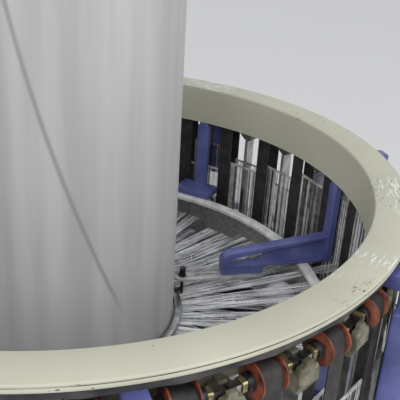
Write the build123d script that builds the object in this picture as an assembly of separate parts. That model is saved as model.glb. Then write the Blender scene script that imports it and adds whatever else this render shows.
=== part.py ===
"""Circular loom: a woven tube rises from the middle of a round frame of healds, reed and shuttles.

Millimetres, +Z up, origin on the floor under the loom's axis. +X points along the ring arm.
Angles are degrees round +Z from +X. An "x" in a profile is the distance from the loom's axis.
"""

from build123d import *
from math import atan, cos, degrees, hypot, pi, radians, sin, sqrt, tan
import os

# Driving dimensions: running clearances, counts, and sides of the turned parts hidden inside
CLEAR = 0.4
RUN_FIT = 0.05
STATIONS = 8
UNITS = 32
SHUTTLES = 4
SHAFT_SIDES = 16
WHEEL_SIDES = 24
SMALL_SIDES = 12
TUBE_SIDES = 36

# Base, on the floor
BASE_BOTTOM = 60.0
BASE_DEPTH = 90.0
BEAM_INSIDE = 30.0
BEAM_OUTSIDE = 20.0
CROSS_BEAM_WIDTH = 100.0
TIE_HEIGHT = 50.0
MOTOR_PLATE_THICK = 12.0
FOOT_PLATE_WIDTH = 140.0
FOOT_PLATE_THICK = 20.0
FOOT_BLOCK = 80.0
ANCHOR_REACH = 40.0
ANCHOR_HOLE = 9.0
ANCHOR_EDGE = 30.0

# Drive
SHAFT = 45.0
SHAFT_PAST_SPIDER = 25.0
HOUSING = 105.0
HOUSING_HEIGHT = 65.0
HOUSING_FLANGE = 30.0
HOUSING_FLOOR = 10.0
PULLEY = 180.0
PULLEY_GAP = 7.0
PULLEY_WIDTH = 40.0
MOTOR_PULLEY = 60.0
MOTOR_DISTANCE = 420.0
MOTOR_ANGLE = 45.0
MOTOR_RADIUS = 85.0
MOTOR_LENGTH = 118.0
MOTOR_FLANGE = 110.0
MOTOR_FLANGE_THICK = 14.0
MOTOR_SHAFT = 14.0
DRIVE_BELT_THICK = 6.0

# Cam wheel
CAM_GAP = 14.0
CAM_WALL = 10.0
CAM_RIDGE = 12.0
CAM_RIDGE_HEIGHT = 14.0
CAM_CLEAR = 0.6
CAM_TO_FRAME = 8.6
SPOKES = 6
SPOKE_HEIGHT = 30.0
SPOKE_WIDTH = 50.0
HUB_RADIUS = 95.0

# Bed ring and columns
BED_RISE = 14.0
BED_THICK = 16.0
LEG_GAP = 9.0
LEG_DEPTH = 50.0
LEG_WIDTH = 120.0
LEG_HEAD = 58.0
LEG_WALL = 10.0
LEG_RECESS = 18.0
WARP_SLOT_BELOW = 2.0
WARP_SLOT_ABOVE = 37.0
HEAD_ARM_WIDTH = 40.0
HEAD_ARM_DEPTH = 34.0
HEAD_ARM_HOLD = 22.0

# Heald frames, their guides and cam followers
EYE_TRAVEL = 85.0
SHED_START = -11.25
FRAME_THICK = 4.0
FRAME_HALF_WIDTH = 60.0
FRAME_BAR = 6.0
WINDOW_MARGIN = 25.0
FOLLOWER_HEIGHT = 36.0
FOLLOWER_GAP = 11.0
FOLLOWER_FLOOR_GAP = 25.0
SLIDER_WIDTH = 9.0
GUIDE_BAR_WIDTH = 10.0

# Heald belts, rollers and brackets
REED_TO_ROLLER = 101.0
ROLLER_RISE = 59.0
LOWER_ROLLER_RISE = 30.0
BARREL = 22.0
FLANGE = 33.0
FLANGE_THICK = 6.0
ROLLER_SHAFT = 8.0
SADDLE_CLEAR = 2.0
BELT_WIDTH = 42.0
BELT_THICK = 2.3
BELT_GAP = 3.0
BRACKET_PAST_SHAFT = 13.0
BRACKET_DEPTH = 60.0
BRACKET_FOOT = 30.0
BRACKET_THICK = 20.0

# Reed
REED_INNER = 622.0
REED_WIDTH = 28.0
REED_RISE = 3.0
UPPER_REED_RISE = 7.0
UPPER_REED_THICK = 14.0
RAIL_WIDTH = 38.0
DENT_THICK = 2.0
DENT_LENGTH = 20.0
DENT_INSET = 4.0
REED_ARM_THICK = 16.0
REED_ARM_WIDTH = 24.0
REED_ARM_OFFSET = 10.0
REED_ARM_DROP = 25.0

# Cover ring and the top ring under it
RING_WIDTH = 77.0
SKIRT_DEPTH = 110.0
SKIRT_THICK = 5.0
COVER_THICK = 6.0
LIP_DEPTH = 16.0
LIP_THICK = 4.0
LIP_GAP = 4.5
RIM_CHAMFER = 3.0
RIM_BAND = 5.0
RIM_STEP = 1.5
TOP_RING_RISE = 51.0
TOP_RING_HEIGHT = 28.0
TOP_RING_GAP = 4.0

# Reed-ring posts and ring arms
POST_GAP = 12.6
POST_THICK = 16.0
POST_WIDTH = 39.0
POST_ROUND = 12.0
STEM_WIDTH = 24.0
STEM_THICK = 10.0
FOOT_WIDTH = 120.0
FOOT_THICK = 20.0
FOOT_REACH = 10.0
ARM_SLOPE = 0.06
ARM_WIDTH = 32.0
ARM_HEIGHT_ROOT = 76.0
ARM_HEIGHT_TIP = 37.0
ARM_NOSE = 26.0
ARM_FLANGE = 7.0
ARM_END_RIB = 12.0
ARM_WEB = 10.0
ARM_BLOCK_DEPTH = 24.0
ARM_BLOCK_LENGTH = 116.0
ARM_BLOCK_WIDTH = 26.0
POCKET_INSET = 22.0
POCKET_TIP_HEIGHT = 17.0

# Arm plate, pin and weaving ring
PLATE_THICK = 6.0
PLATE_WIDTH = 44.0
PLATE_CORNER = 12.0
PLATE_REACH = 104.0
SLOT_INSET = 37.0
SLOT_LENGTH = 63.0
SLOT_WIDTH = 8.0
PIN_GAP = 10.0
PIN_RADIUS = 4.5
PIN_TOP_RADIUS = 6.0
PIN_HEAD = 8.0
PIN_HEAD_HEIGHT = 20.0
WASHER = 11.0
WASHER_THICK = 3.0
PIN_HOOK_HEIGHT = 6.0
WEAVING_GAP = 3.8
WEAVING_WIDTH = 19.0
WEAVING_RISE = 5.0
WEAVING_THICK = 10.0

# Warp and its inlet ring
FELL_RISE = 28.0
TAPE_THICK = 1.0
TAPE_OFFSET = 7.0
TAPE_WIDTH = 41.0
TAPE_BEND = 10.0
INLET_REACH = 40.0
INLET_TUBE = 16.0
INLET_DROP = 6.0

# Shuttle drive spider
SPIDER_DROP = 36.0
SPIDER_HEIGHT = 25.0
SPIDER_ARM_WIDTH = 40.0
PUSHER_GAP = 3.1
PUSHER_BAR = 30.0
PUSHER_SPAN = 125.0
PUSHER_SIZE = 20.0

# Shuttles
BOBBIN_RISE = 10.0
BOBBIN_RADIUS = 42.0
BOBBIN_LENGTH = 176.0
BOBBIN_GAP = 1.0
BOBBIN_CORE = 16.0
BOBBIN_CORE_LENGTH = 192.0
SPINDLE = 8.0
CARRIER_GAP = 12.0
CARRIER_WALL = 8.0
CARRIER_DEPTH = 62.0
CARRIER_BEAM = 7.0
CARRIER_HEIGHT = 38.0
NOSE_LENGTH = 78.0
NOSE_HEIGHT = 28.0
NOSE_TIP = 10.0
WHEEL_RADIUS = 9.0
WHEEL_THICK = 10.0
WHEEL_SPAN = 80.0

# Woven tube
FLAT_WIDTH = 832.0
CLOTH = 1.2
LAYER_GAP = 0.6
TUBE_ROUND_RISE = 420.0
NIP_RISE = 1270.0
FLAT_BELOW_NIP = 70.0
CLOTH_PAST_NIP = 60.0

# Take-up tower
TOWER_GAP = 70.0
TOWER_POST_WIDTH = 60.0
TOWER_POST_DEPTH = 80.0
TOWER_FOOT = 160.0
TOWER_FOOT_PAST = 30.0
TOWER_FOOT_THICK = 16.0
BEAM_PAST_NIP = 100.0
BEAM_HEIGHT = 80.0
BEARING_PLATE = 20.0
BEARING_HEIGHT = 120.0
BEARING_DEPTH = 200.0
NIP_ROLLER = 60.0
NIP_JOURNAL = 20.0
NIP_END_GAP = 5.0
GEARMOTOR_WIDTH = 140.0
GEARMOTOR_BORE = 15.0

# Worked out: steps between like pieces
UNIT_STEP = 360.0 / UNITS
STATION_STEP = 360.0 / STATIONS
SHUTTLE_STEP = 360.0 / SHUTTLES
GROUPS = UNITS // SHUTTLES

# Worked out: distances from the loom's axis, outward from the reed
REED_OUTER = REED_INNER + REED_WIDTH
RAIL_INNER = REED_INNER - RAIL_WIDTH
ROLLER_RADIUS = REED_OUTER + REED_TO_ROLLER
BELT_FACE = BARREL + CLEAR
INNER_FRAME = ROLLER_RADIUS - BELT_FACE
OUTER_FRAME = ROLLER_RADIUS + BELT_FACE - BELT_GAP - FRAME_THICK
INNER_EYE = INNER_FRAME + FRAME_THICK / 2
OUTER_EYE = OUTER_FRAME + FRAME_THICK / 2
GUIDE_BAR_INNER = INNER_FRAME + FRAME_THICK + CLEAR
GUIDE_BAR_OUTER = OUTER_FRAME - CLEAR
CAM_OUTER = INNER_FRAME - CAM_TO_FRAME
CAM_INNER = CAM_OUTER - CAM_RIDGE - CAM_WALL
RING_INNER = INNER_FRAME - POST_GAP - POST_THICK
RING_OUTER = RING_INNER + RING_WIDTH
SKIRT_OUTER = RING_INNER + SKIRT_THICK
TOP_RING_INNER = SKIRT_OUTER + TOP_RING_GAP
LIP_INNER = RING_OUTER - RIM_STEP - LIP_THICK
TOP_RING_OUTER = LIP_INNER - LIP_GAP
LEG_INNER = ROLLER_RADIUS + BRACKET_DEPTH / 2 + LEG_GAP
LEG_OUTER = LEG_INNER + LEG_DEPTH
BEAM_INNER = LEG_INNER - BEAM_INSIDE
BEAM_OUTER = LEG_OUTER + BEAM_OUTSIDE
INLET_RADIUS = LEG_OUTER + INLET_REACH
ANCHOR_RADIUS = BEAM_OUTER + ANCHOR_REACH
TOWER_X = ANCHOR_RADIUS + ANCHOR_EDGE + TOWER_GAP
TOWER_OUTER = TOWER_X + TOWER_POST_WIDTH

# Worked out: distances from the loom's axis, inside the reed
TUBE_RADIUS = FLAT_WIDTH / pi
FELL_RADIUS = TUBE_RADIUS + CLEAR
WEAVING_INNER = FELL_RADIUS + WEAVING_GAP
WEAVING_OUTER = WEAVING_INNER + WEAVING_WIDTH
PIN_AT = WEAVING_OUTER + PIN_GAP
ARM_TIP = PIN_AT + PLATE_REACH
ARM_BLOCK_END = ARM_TIP + ARM_BLOCK_LENGTH
CARRIER_OUTER = REED_INNER - CARRIER_GAP
CARRIER_INNER = CARRIER_OUTER - CARRIER_DEPTH
BOBBIN_AT = CARRIER_OUTER - CARRIER_BEAM - BOBBIN_RADIUS - BOBBIN_GAP
SPIDER_REACH = sqrt((RAIL_INNER - PUSHER_GAP) ** 2 - (PUSHER_SPAN + PUSHER_SIZE / 2) ** 2)

# Worked out: heights, from the floor up
BASE_TOP = BASE_BOTTOM + BASE_DEPTH
HOUSING_TOP = BASE_TOP + HOUSING_HEIGHT
PULLEY_BOTTOM = HOUSING_TOP + PULLEY_GAP
CAM_BOTTOM = PULLEY_BOTTOM + PULLEY_WIDTH + CAM_GAP
BED_TOP = CAM_BOTTOM + BED_RISE
LOWER_ROLLER_HEIGHT = BED_TOP + LOWER_ROLLER_RISE
CAM_MIDDLE = BED_TOP + FOLLOWER_FLOOR_GAP + FOLLOWER_HEIGHT / 2 + EYE_TRAVEL
FRAME_HALF_WINDOW = 2 * EYE_TRAVEL + WINDOW_MARGIN
FOLLOWER_DROP = FRAME_HALF_WINDOW + FRAME_BAR + FOLLOWER_GAP + FOLLOWER_HEIGHT / 2
EYE_MIDDLE = CAM_MIDDLE + FOLLOWER_DROP
LOWEST_EYE = EYE_MIDDLE - EYE_TRAVEL
HIGHEST_EYE = EYE_MIDDLE + EYE_TRAVEL
LOWER_REED_BOTTOM = LOWEST_EYE + REED_RISE
UPPER_REED_TOP = HIGHEST_EYE + UPPER_REED_RISE
UPPER_REED_BOTTOM = UPPER_REED_TOP - UPPER_REED_THICK
SPIDER_BOTTOM = LOWER_REED_BOTTOM - SPIDER_DROP
SHAFT_TOP = SPIDER_BOTTOM + SPIDER_HEIGHT + SHAFT_PAST_SPIDER
BOBBIN_HEIGHT = EYE_MIDDLE + BOBBIN_RISE
INLET_TOP = EYE_MIDDLE - INLET_DROP
FELL_HEIGHT = EYE_MIDDLE + FELL_RISE
WEAVING_BOTTOM = FELL_HEIGHT + WEAVING_RISE
WEAVING_TOP = WEAVING_BOTTOM + WEAVING_THICK
WARP_SLOT_BOTTOM = LOWEST_EYE + WARP_SLOT_BELOW
WARP_SLOT_TOP = HIGHEST_EYE + WARP_SLOT_ABOVE
BRACKET_BOTTOM = HIGHEST_EYE + FRAME_HALF_WINDOW + FRAME_BAR + SADDLE_CLEAR
ROLLER_HEIGHT = BRACKET_BOTTOM + ROLLER_RISE
BRACKET_TOP = ROLLER_HEIGHT + BRACKET_PAST_SHAFT
TOP_RING_BOTTOM = ROLLER_HEIGHT + TOP_RING_RISE
LEG_TOP = TOP_RING_BOTTOM - LEG_HEAD
COVER_UNDERSIDE = TOP_RING_BOTTOM + TOP_RING_HEIGHT
RING_TOP = COVER_UNDERSIDE + COVER_THICK
SKIRT_BOTTOM = RING_TOP - SKIRT_DEPTH
FLATTEN_FROM = RING_TOP + TUBE_ROUND_RISE
NIP_HEIGHT = RING_TOP + NIP_RISE
FLAT_FROM = NIP_HEIGHT - FLAT_BELOW_NIP
BEAM_BOTTOM = NIP_HEIGHT + BEAM_PAST_NIP
NIP_OFFSET = NIP_ROLLER + CLOTH + LAYER_GAP / 2 + CLEAR


def write(name, shapes):
    """Write one node: a group of separate solids under one name."""
    solids = [solid for shape in shapes for solid in shape.solids()]
    node = solids[0] if len(solids) == 1 else Compound(solids)
    node.label = name
    export_step(node, f"parts/{name}.step")


def around(shape, count, start=0.0):
    """Copies of a shape evenly round the loom's axis."""
    return [Rot(0, 0, start + i * 360.0 / count) * shape for i in range(count)]


def block(x0, x1, y0, y1, z0, z1):
    """A box between two corners."""
    return Pos((x0 + x1) / 2, (y0 + y1) / 2, (z0 + z1) / 2) * Box(x1 - x0, y1 - y0, z1 - z0)


def upright(points, y0, y1):
    """A plate standing in a radial plane: its (x, z) outline, from y0 to y1."""
    outline = Plane.XZ * Polygon(*points, align=None)
    return Pos(0, y1, 0) * extrude(outline, y1 - y0, dir=(0, -1, 0))


def slab(points, z0, z1):
    """A flat plate: its (x, y) outline, from z0 to z1."""
    return Pos(0, 0, z0) * extrude(Polygon(*points, align=None), z1 - z0, dir=(0, 0, 1))


def tube_ring(inner, outer, bottom, top):
    """A round ring or hollow cylinder about the loom's axis."""
    return Pos(0, 0, bottom) * extrude(Circle(outer) - Circle(inner), top - bottom)


def turned(points):
    """A body turned round the loom's axis from its (x, z) outline."""
    return revolve(Plane.XZ * Polygon(*points, align=None), Axis.Z)


def flat_sided(apothem, sides):
    """A regular polygon with the middle of one flat on +X."""
    return Rot(0, 0, 180.0 / sides) * RegularPolygon(apothem, sides, major_radius=False)


def flat_ring(inner, outer, sides, bottom, top):
    outline = flat_sided(outer, sides) - flat_sided(inner, sides)
    return Pos(0, 0, bottom) * extrude(outline, top - bottom)


def many_sided(radius, sides, bottom, top):
    """An upright bar with flat sides, its corners on this radius."""
    return Pos(0, 0, bottom) * extrude(RegularPolygon(radius, sides), top - bottom)


def flat_bore(radius, sides, bottom, top):
    """A hole with flat sides that touch this radius, for a bar of the same radius."""
    return Pos(0, 0, bottom - 1) * extrude(flat_sided(radius, sides), top - bottom + 2)


def bar_along_y(radius, sides, y0, y1, x, z):
    """A many-sided bar on an axis along Y, with a flat underneath."""
    outline = RegularPolygon(radius, sides, rotation=0 if sides == 6 else 180.0 / sides)
    return Pos(x, y1, z) * (Rot(90, 0, 0) * extrude(outline, y1 - y0))


def at_angle(angle, shape):
    return Rot(0, 0, angle) * shape


def shed_lift(angle):
    """How far the inner frame of the unit at this angle is lifted at rest."""
    return EYE_TRAVEL * cos(radians(2 * (angle - SHED_START)))


def warp_height(x, eye_height):
    """Height of a tape between the fell and the reed, for its heald eye's height."""
    return FELL_HEIGHT + (eye_height - FELL_HEIGHT) * (x - FELL_RADIUS) / (INNER_EYE - FELL_RADIUS)


# Base


def base_frame():
    """Welded octagon with a cross of beams, ties to the tower and the motor's plate."""
    half = CROSS_BEAM_WIDTH / 2
    reach = BEAM_INNER + half / 2
    motor_x = MOTOR_DISTANCE * cos(radians(MOTOR_ANGLE))
    motor_y = MOTOR_DISTANCE * sin(radians(MOTOR_ANGLE))
    frame = flat_ring(BEAM_INNER, BEAM_OUTER, STATIONS, BASE_BOTTOM, BASE_TOP)
    frame += block(-reach, reach, -half, half, BASE_BOTTOM, BASE_TOP)
    frame += block(-half, half, -reach, reach, BASE_BOTTOM, BASE_TOP)
    tie = block(BEAM_OUTER - half / 2, TOWER_X, -half / 2, half / 2, BASE_BOTTOM, BASE_BOTTOM + TIE_HEIGHT)
    frame += tie
    frame += at_angle(180, tie)
    far_x = motor_x + MOTOR_FLANGE + half / 2
    far_y = motor_y + MOTOR_FLANGE + half / 2
    plate_bottom = BASE_TOP - MOTOR_PLATE_THICK
    corner = block(half / 2, far_x, half / 2, far_y, plate_bottom, BASE_TOP)
    corner -= motor_place() * flat_bore(MOTOR_RADIUS + CLEAR, SHAFT_SIDES, plate_bottom, BASE_TOP)
    return [frame + corner]


def feet():
    """Foot plates under the octagon, each with one floor anchor hole."""
    half = FOOT_PLATE_WIDTH / 2
    outer_end = ANCHOR_RADIUS + ANCHOR_EDGE
    inner_end = BEAM_OUTER - FOOT_BLOCK
    foot = block(inner_end, outer_end, -half, half, 0, FOOT_PLATE_THICK)
    foot += block(inner_end, BEAM_OUTER, -FOOT_BLOCK / 2, FOOT_BLOCK / 2, FOOT_PLATE_THICK, BASE_BOTTOM)
    foot -= Pos(ANCHOR_RADIUS, 0, -1) * extrude(Circle(ANCHOR_HOLE), FOOT_PLATE_THICK + 2)
    return around(foot, STATIONS)


def bed_ring():
    """Flat-sided ring that ties the columns and carries the guide bars."""
    return [flat_ring(GUIDE_BAR_INNER, LEG_INNER, UNITS, BED_TOP - BED_THICK, BED_TOP)]


def columns():
    """Cast columns: a leg with a slot for the warp, a recessed back and an arm under the top ring."""
    half = LEG_WIDTH / 2
    inside = half - LEG_WALL
    past = LEG_OUTER + 1
    leg = block(LEG_INNER, LEG_OUTER, -half, half, BASE_TOP, LEG_TOP)
    leg -= block(LEG_INNER - 1, past, -inside, inside, WARP_SLOT_BOTTOM, WARP_SLOT_TOP)
    upper_start = WARP_SLOT_TOP + 2 * LEG_WALL
    lower_end = WARP_SLOT_BOTTOM - 2 * LEG_WALL
    leg -= block(LEG_OUTER - LEG_RECESS, past, -inside, inside, upper_start, LEG_TOP - LEG_WALL)
    leg -= block(LEG_OUTER - LEG_RECESS, past, -inside, inside, BASE_TOP + 2 * LEG_WALL, lower_end)
    arm_half = HEAD_ARM_WIDTH / 2
    leg += block(LEG_INNER, LEG_OUTER, -arm_half, arm_half, LEG_TOP, TOP_RING_BOTTOM)
    arm_bottom = TOP_RING_BOTTOM - HEAD_ARM_DEPTH
    leg += block(TOP_RING_OUTER - HEAD_ARM_HOLD, LEG_OUTER, -arm_half, arm_half, arm_bottom, TOP_RING_BOTTOM)
    return around(leg, STATIONS)


def top_ring():
    """Machined ring on the columns' arms, under the cover."""
    return [flat_ring(TOP_RING_INNER, TOP_RING_OUTER, UNITS, TOP_RING_BOTTOM, COVER_UNDERSIDE)]


def cover_ring():
    """Pressed cover: flat top, deep inner skirt and an outer lip in two bands."""
    rim_top = RING_TOP - RIM_CHAMFER
    return [turned([
        (RING_INNER, SKIRT_BOTTOM),
        (RING_INNER, rim_top),
        (RING_INNER + RIM_CHAMFER, RING_TOP),
        (RING_OUTER - RIM_CHAMFER, RING_TOP),
        (RING_OUTER, rim_top),
        (RING_OUTER, rim_top - RIM_BAND),
        (RING_OUTER - RIM_STEP, rim_top - RIM_BAND),
        (RING_OUTER - RIM_STEP, RING_TOP - LIP_DEPTH),
        (LIP_INNER, RING_TOP - LIP_DEPTH),
        (LIP_INNER, COVER_UNDERSIDE),
        (SKIRT_OUTER, COVER_UNDERSIDE),
        (SKIRT_OUTER, SKIRT_BOTTOM),
    ])]


# Reed


def upper_reed_ring():
    return [tube_ring(REED_INNER, REED_OUTER, UPPER_REED_BOTTOM, UPPER_REED_TOP)]


def rail_height(x):
    """Top of the lower reed ring, just under the lowest tapes."""
    return warp_height(x, LOWEST_EYE) - TAPE_THICK / 2 - CLEAR


def lower_reed_ring():
    """Lower ring with the shuttles' coned rail inside the reed."""
    return [turned([
        (RAIL_INNER, LOWER_REED_BOTTOM),
        (REED_OUTER, LOWER_REED_BOTTOM),
        (REED_OUTER, rail_height(REED_OUTER)),
        (RAIL_INNER, rail_height(RAIL_INNER)),
    ])]


def reed_dents():
    """Flat steel dents from the lower ring to the upper one, two to a unit."""
    start = REED_INNER + DENT_INSET
    end = start + DENT_LENGTH
    dent = upright([
        (start, rail_height(start)),
        (end, rail_height(end)),
        (end, UPPER_REED_BOTTOM),
        (start, UPPER_REED_BOTTOM),
    ], -DENT_THICK / 2, DENT_THICK / 2)
    return around(dent, 2 * UNITS)


def lower_reed_arms():
    """Arms from the columns to the lower ring, through the heald frames and under the warp."""
    top = LOWER_REED_BOTTOM - CLEAR - REED_ARM_DROP + REED_ARM_THICK
    bottom = top - REED_ARM_THICK
    inner_end = RAIL_INNER + REED_ARM_THICK
    arm = upright([
        (inner_end, bottom),
        (LEG_INNER, bottom),
        (LEG_INNER, top),
        (REED_OUTER, top),
        (REED_OUTER, LOWER_REED_BOTTOM),
        (inner_end, LOWER_REED_BOTTOM),
    ], REED_ARM_OFFSET, REED_ARM_OFFSET + REED_ARM_WIDTH)
    return around(arm, STATIONS)


def post_body():
    """Blue post behind the skirt with a rounded head and a stem to the top ring."""
    height = SKIRT_BOTTOM - CLEAR - UPPER_REED_TOP
    face = Pos(0, UPPER_REED_TOP + height / 2) * Rectangle(POST_WIDTH, height)
    corners = face.vertices().sort_by(Axis.Y)[-2:]
    face = chamfer(corners, POST_ROUND)
    post = Pos(RING_INNER, 0, 0) * extrude(Plane.YZ * face, POST_THICK)
    stem_outer = RING_INNER + POST_THICK
    stem_bottom = SKIRT_BOTTOM - 2 * POST_ROUND
    post += block(
        stem_outer - STEM_THICK, stem_outer, -STEM_WIDTH / 2, STEM_WIDTH / 2, stem_bottom, TOP_RING_BOTTOM
    )
    return post


def reed_ring_posts():
    """Posts that carry the upper reed ring at every station without a ring arm."""
    half = FOOT_WIDTH / 2
    foot_top = UPPER_REED_TOP + FOOT_THICK
    post = post_body()
    post += block(REED_OUTER - FOOT_REACH, RING_INNER + POST_THICK, -half, half, UPPER_REED_TOP, foot_top)
    stations = [i * STATION_STEP for i in range(STATIONS) if i % (STATIONS // 2)]
    return [at_angle(angle, post) for angle in stations]


# Ring arms and the weaving ring


def arm_underside(x):
    """Height of the ring arm's underside, which rises inward from the reed ring."""
    return UPPER_REED_TOP + ARM_SLOPE * max(0.0, REED_INNER - x)


def plate_top(x):
    return arm_underside(x) - ARM_BLOCK_DEPTH


def ring_arms():
    """L-shaped castings on opposite sides: a post, and a channel arm open through its web at the tip."""
    half = ARM_WIDTH / 2
    root_top = UPPER_REED_TOP + ARM_HEIGHT_ROOT
    nose_top = arm_underside(ARM_TIP) + ARM_HEIGHT_TIP
    arm = upright([
        (RING_INNER + POST_THICK / 2, UPPER_REED_TOP),
        (REED_INNER, UPPER_REED_TOP),
        (ARM_TIP, arm_underside(ARM_TIP)),
        (ARM_TIP, nose_top),
        (RING_INNER, root_top),
        (RING_INNER + POST_THICK / 2, root_top),
    ], -half, half)
    arm = fillet(arm.edges().filter_by(Axis.Y).group_by(Axis.X)[0].sort_by(Axis.Z)[-1], ARM_NOSE)
    pocket_start = ARM_TIP + POCKET_INSET
    pocket_end = RING_INNER - ARM_END_RIB
    start_top = arm_underside(pocket_start) + ARM_FLANGE + POCKET_TIP_HEIGHT
    rise = (root_top - ARM_FLANGE - start_top) / (RING_INNER - pocket_start)
    pocket = [
        (pocket_start, arm_underside(pocket_start) + ARM_FLANGE),
        (REED_INNER, UPPER_REED_TOP + ARM_FLANGE),
        (pocket_end, UPPER_REED_TOP + ARM_FLANGE),
        (pocket_end, start_top + rise * (pocket_end - pocket_start)),
        (pocket_start, start_top),
    ]
    arm -= upright(pocket, -half - 1, -ARM_WEB / 2)
    arm -= upright(pocket, ARM_WEB / 2, half + 1)
    arm -= upright([
        (pocket_start, arm_underside(pocket_start) + ARM_FLANGE),
        (ARM_BLOCK_END, arm_underside(ARM_BLOCK_END) + ARM_FLANGE),
        (ARM_BLOCK_END, start_top + rise * (ARM_BLOCK_END - pocket_start)),
        (pocket_start, start_top),
    ], -half, half)
    arm += upright([
        (ARM_TIP, arm_underside(ARM_TIP) + 1),
        (ARM_TIP, plate_top(ARM_TIP)),
        (ARM_BLOCK_END, plate_top(ARM_BLOCK_END)),
        (ARM_BLOCK_END, arm_underside(ARM_BLOCK_END) + 1),
    ], -ARM_BLOCK_WIDTH / 2, ARM_BLOCK_WIDTH / 2)
    arm += post_body()
    return around(arm, 2)


def arm_plates():
    """Slotted steel plates under the arms' tips, on the same slope."""
    half = PLATE_WIDTH / 2
    start = PIN_AT - half
    slot_start = PIN_AT + SLOT_INSET
    low = plate_top(ARM_BLOCK_END) - PLATE_THICK - 1
    high = plate_top(start) + 1
    plan = Pos((start + ARM_BLOCK_END) / 2, 0) * Rectangle(ARM_BLOCK_END - start, PLATE_WIDTH)
    plan = chamfer(plan.vertices().sort_by(Axis.X)[:2], PLATE_CORNER)
    plate = Pos(0, 0, low) * extrude(plan, high - low)
    plate = plate & upright([
        (start - 1, plate_top(start - 1)),
        (ARM_BLOCK_END + 1, plate_top(ARM_BLOCK_END + 1)),
        (ARM_BLOCK_END + 1, plate_top(ARM_BLOCK_END + 1) - PLATE_THICK),
        (start - 1, plate_top(start - 1) - PLATE_THICK),
    ], -half - 1, half + 1)
    plate -= block(slot_start, slot_start + SLOT_LENGTH, -SLOT_WIDTH / 2, SLOT_WIDTH / 2, low, high)
    plate -= Pos(PIN_AT, 0, 0) * flat_bore(PIN_TOP_RADIUS + RUN_FIT, STATIONS, low, high)
    return around(plate, 2)


def arm_pins():
    """Pins with a head and washer above the plate and a hook on the weaving ring."""
    seat = plate_top(PIN_AT)
    hook_top = WEAVING_TOP + PIN_HOOK_HEIGHT
    rod_bottom = WEAVING_BOTTOM + TAPE_THICK
    pin = many_sided(PIN_RADIUS, STATIONS, rod_bottom, seat)
    pin += many_sided(PIN_TOP_RADIUS, STATIONS, seat - PLATE_THICK, seat + WASHER_THICK)
    head = many_sided(WASHER, SMALL_SIDES, 0, WASHER_THICK)
    head += many_sided(PIN_HEAD, SMALL_SIDES, WASHER_THICK, WASHER_THICK + PIN_HEAD_HEIGHT)
    pin += Pos(0, 0, seat) * (Rot(0, degrees(atan(ARM_SLOPE)), 0) * head)
    pin = Pos(PIN_AT, 0, 0) * pin
    hook_start = (WEAVING_INNER + WEAVING_OUTER) / 2
    pin += block(hook_start, PIN_AT, -PIN_RADIUS, PIN_RADIUS, WEAVING_TOP, hook_top)
    return around(pin, 2)


def weaving_ring():
    """Polished ring round the foot of the cloth, held down on the fell by the pins."""
    return [tube_ring(WEAVING_INNER, WEAVING_OUTER, WEAVING_BOTTOM, WEAVING_TOP)]


# Heald drive


def guide_bars():
    """Flat bars on the bed ring, between the two heald frames of each unit."""
    half = GUIDE_BAR_WIDTH / 2
    return around(block(GUIDE_BAR_INNER, GUIDE_BAR_OUTER, -half, half, BED_TOP, BRACKET_BOTTOM), UNITS)


def roller_brackets():
    """Cast brackets on the guide bars, with a saddle for the ends of two rollers."""
    half = BRACKET_THICK / 2
    inner = ROLLER_RADIUS - BRACKET_DEPTH / 2
    outer = ROLLER_RADIUS + BRACKET_DEPTH / 2
    shaft_at = ROLLER_RADIUS / cos(radians(UNIT_STEP / 2))
    shaft_half = ROLLER_SHAFT + SADDLE_CLEAR
    saddle = ROLLER_HEIGHT - ROLLER_SHAFT - RUN_FIT
    shoulder = BRACKET_BOTTOM + BRACKET_FOOT
    bracket = upright([
        (ROLLER_RADIUS - BRACKET_FOOT / 2, BRACKET_BOTTOM),
        (ROLLER_RADIUS + BRACKET_FOOT / 2, BRACKET_BOTTOM),
        (outer, shoulder),
        (outer - 4, BRACKET_TOP),
        (shaft_at + shaft_half, BRACKET_TOP),
        (shaft_at + shaft_half, saddle),
        (shaft_at - shaft_half, saddle),
        (shaft_at - shaft_half, BRACKET_TOP),
        (inner + 4, BRACKET_TOP),
        (inner, shoulder),
    ], -half, half)
    return around(bracket, UNITS)


def square_bar(half, y0, y1, height):
    return block(ROLLER_RADIUS - half, ROLLER_RADIUS + half, y0, y1, height - half, height + half)


def belt_rollers():
    """Flanged upper rollers with square shaft ends, and plain lower rollers, one pair to each belt."""
    width = BELT_WIDTH / 2 + CLEAR
    flange_end = width + FLANGE_THICK
    across = ROLLER_RADIUS * tan(radians(UNIT_STEP / 2))
    shaft_end = across - SADDLE_CLEAR
    upper = bar_along_y(BARREL, 6, -width, width, ROLLER_RADIUS, ROLLER_HEIGHT)
    for side in (-1, 1):
        flange_span = sorted((side * width, side * flange_end))
        shaft_span = sorted((side * flange_end, side * shaft_end))
        upper += bar_along_y(FLANGE, 6, *flange_span, ROLLER_RADIUS, ROLLER_HEIGHT)
        upper += square_bar(ROLLER_SHAFT, *shaft_span, ROLLER_HEIGHT)
    reach = (ROLLER_RADIUS - BARREL) * tan(radians(UNIT_STEP / 2)) - GUIDE_BAR_WIDTH / 2 - CLEAR
    lower = bar_along_y(BARREL, 6, -reach, reach, ROLLER_RADIUS, LOWER_ROLLER_HEIGHT)
    start = UNIT_STEP / 2
    return around(upper, UNITS, start) + around(lower, UNITS, start)


def belt_outline(radius):
    """A loop over the six-sided barrels of the upper and lower rollers."""
    high = radius * cos(radians(30))
    upper = [(radius, 0), (radius / 2, high), (-radius / 2, high), (-radius, 0)]
    outline = [(ROLLER_RADIUS + x, ROLLER_HEIGHT + z) for x, z in upper]
    outline += [(ROLLER_RADIUS - x, LOWER_ROLLER_HEIGHT - z) for x, z in upper]
    return outline


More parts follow.
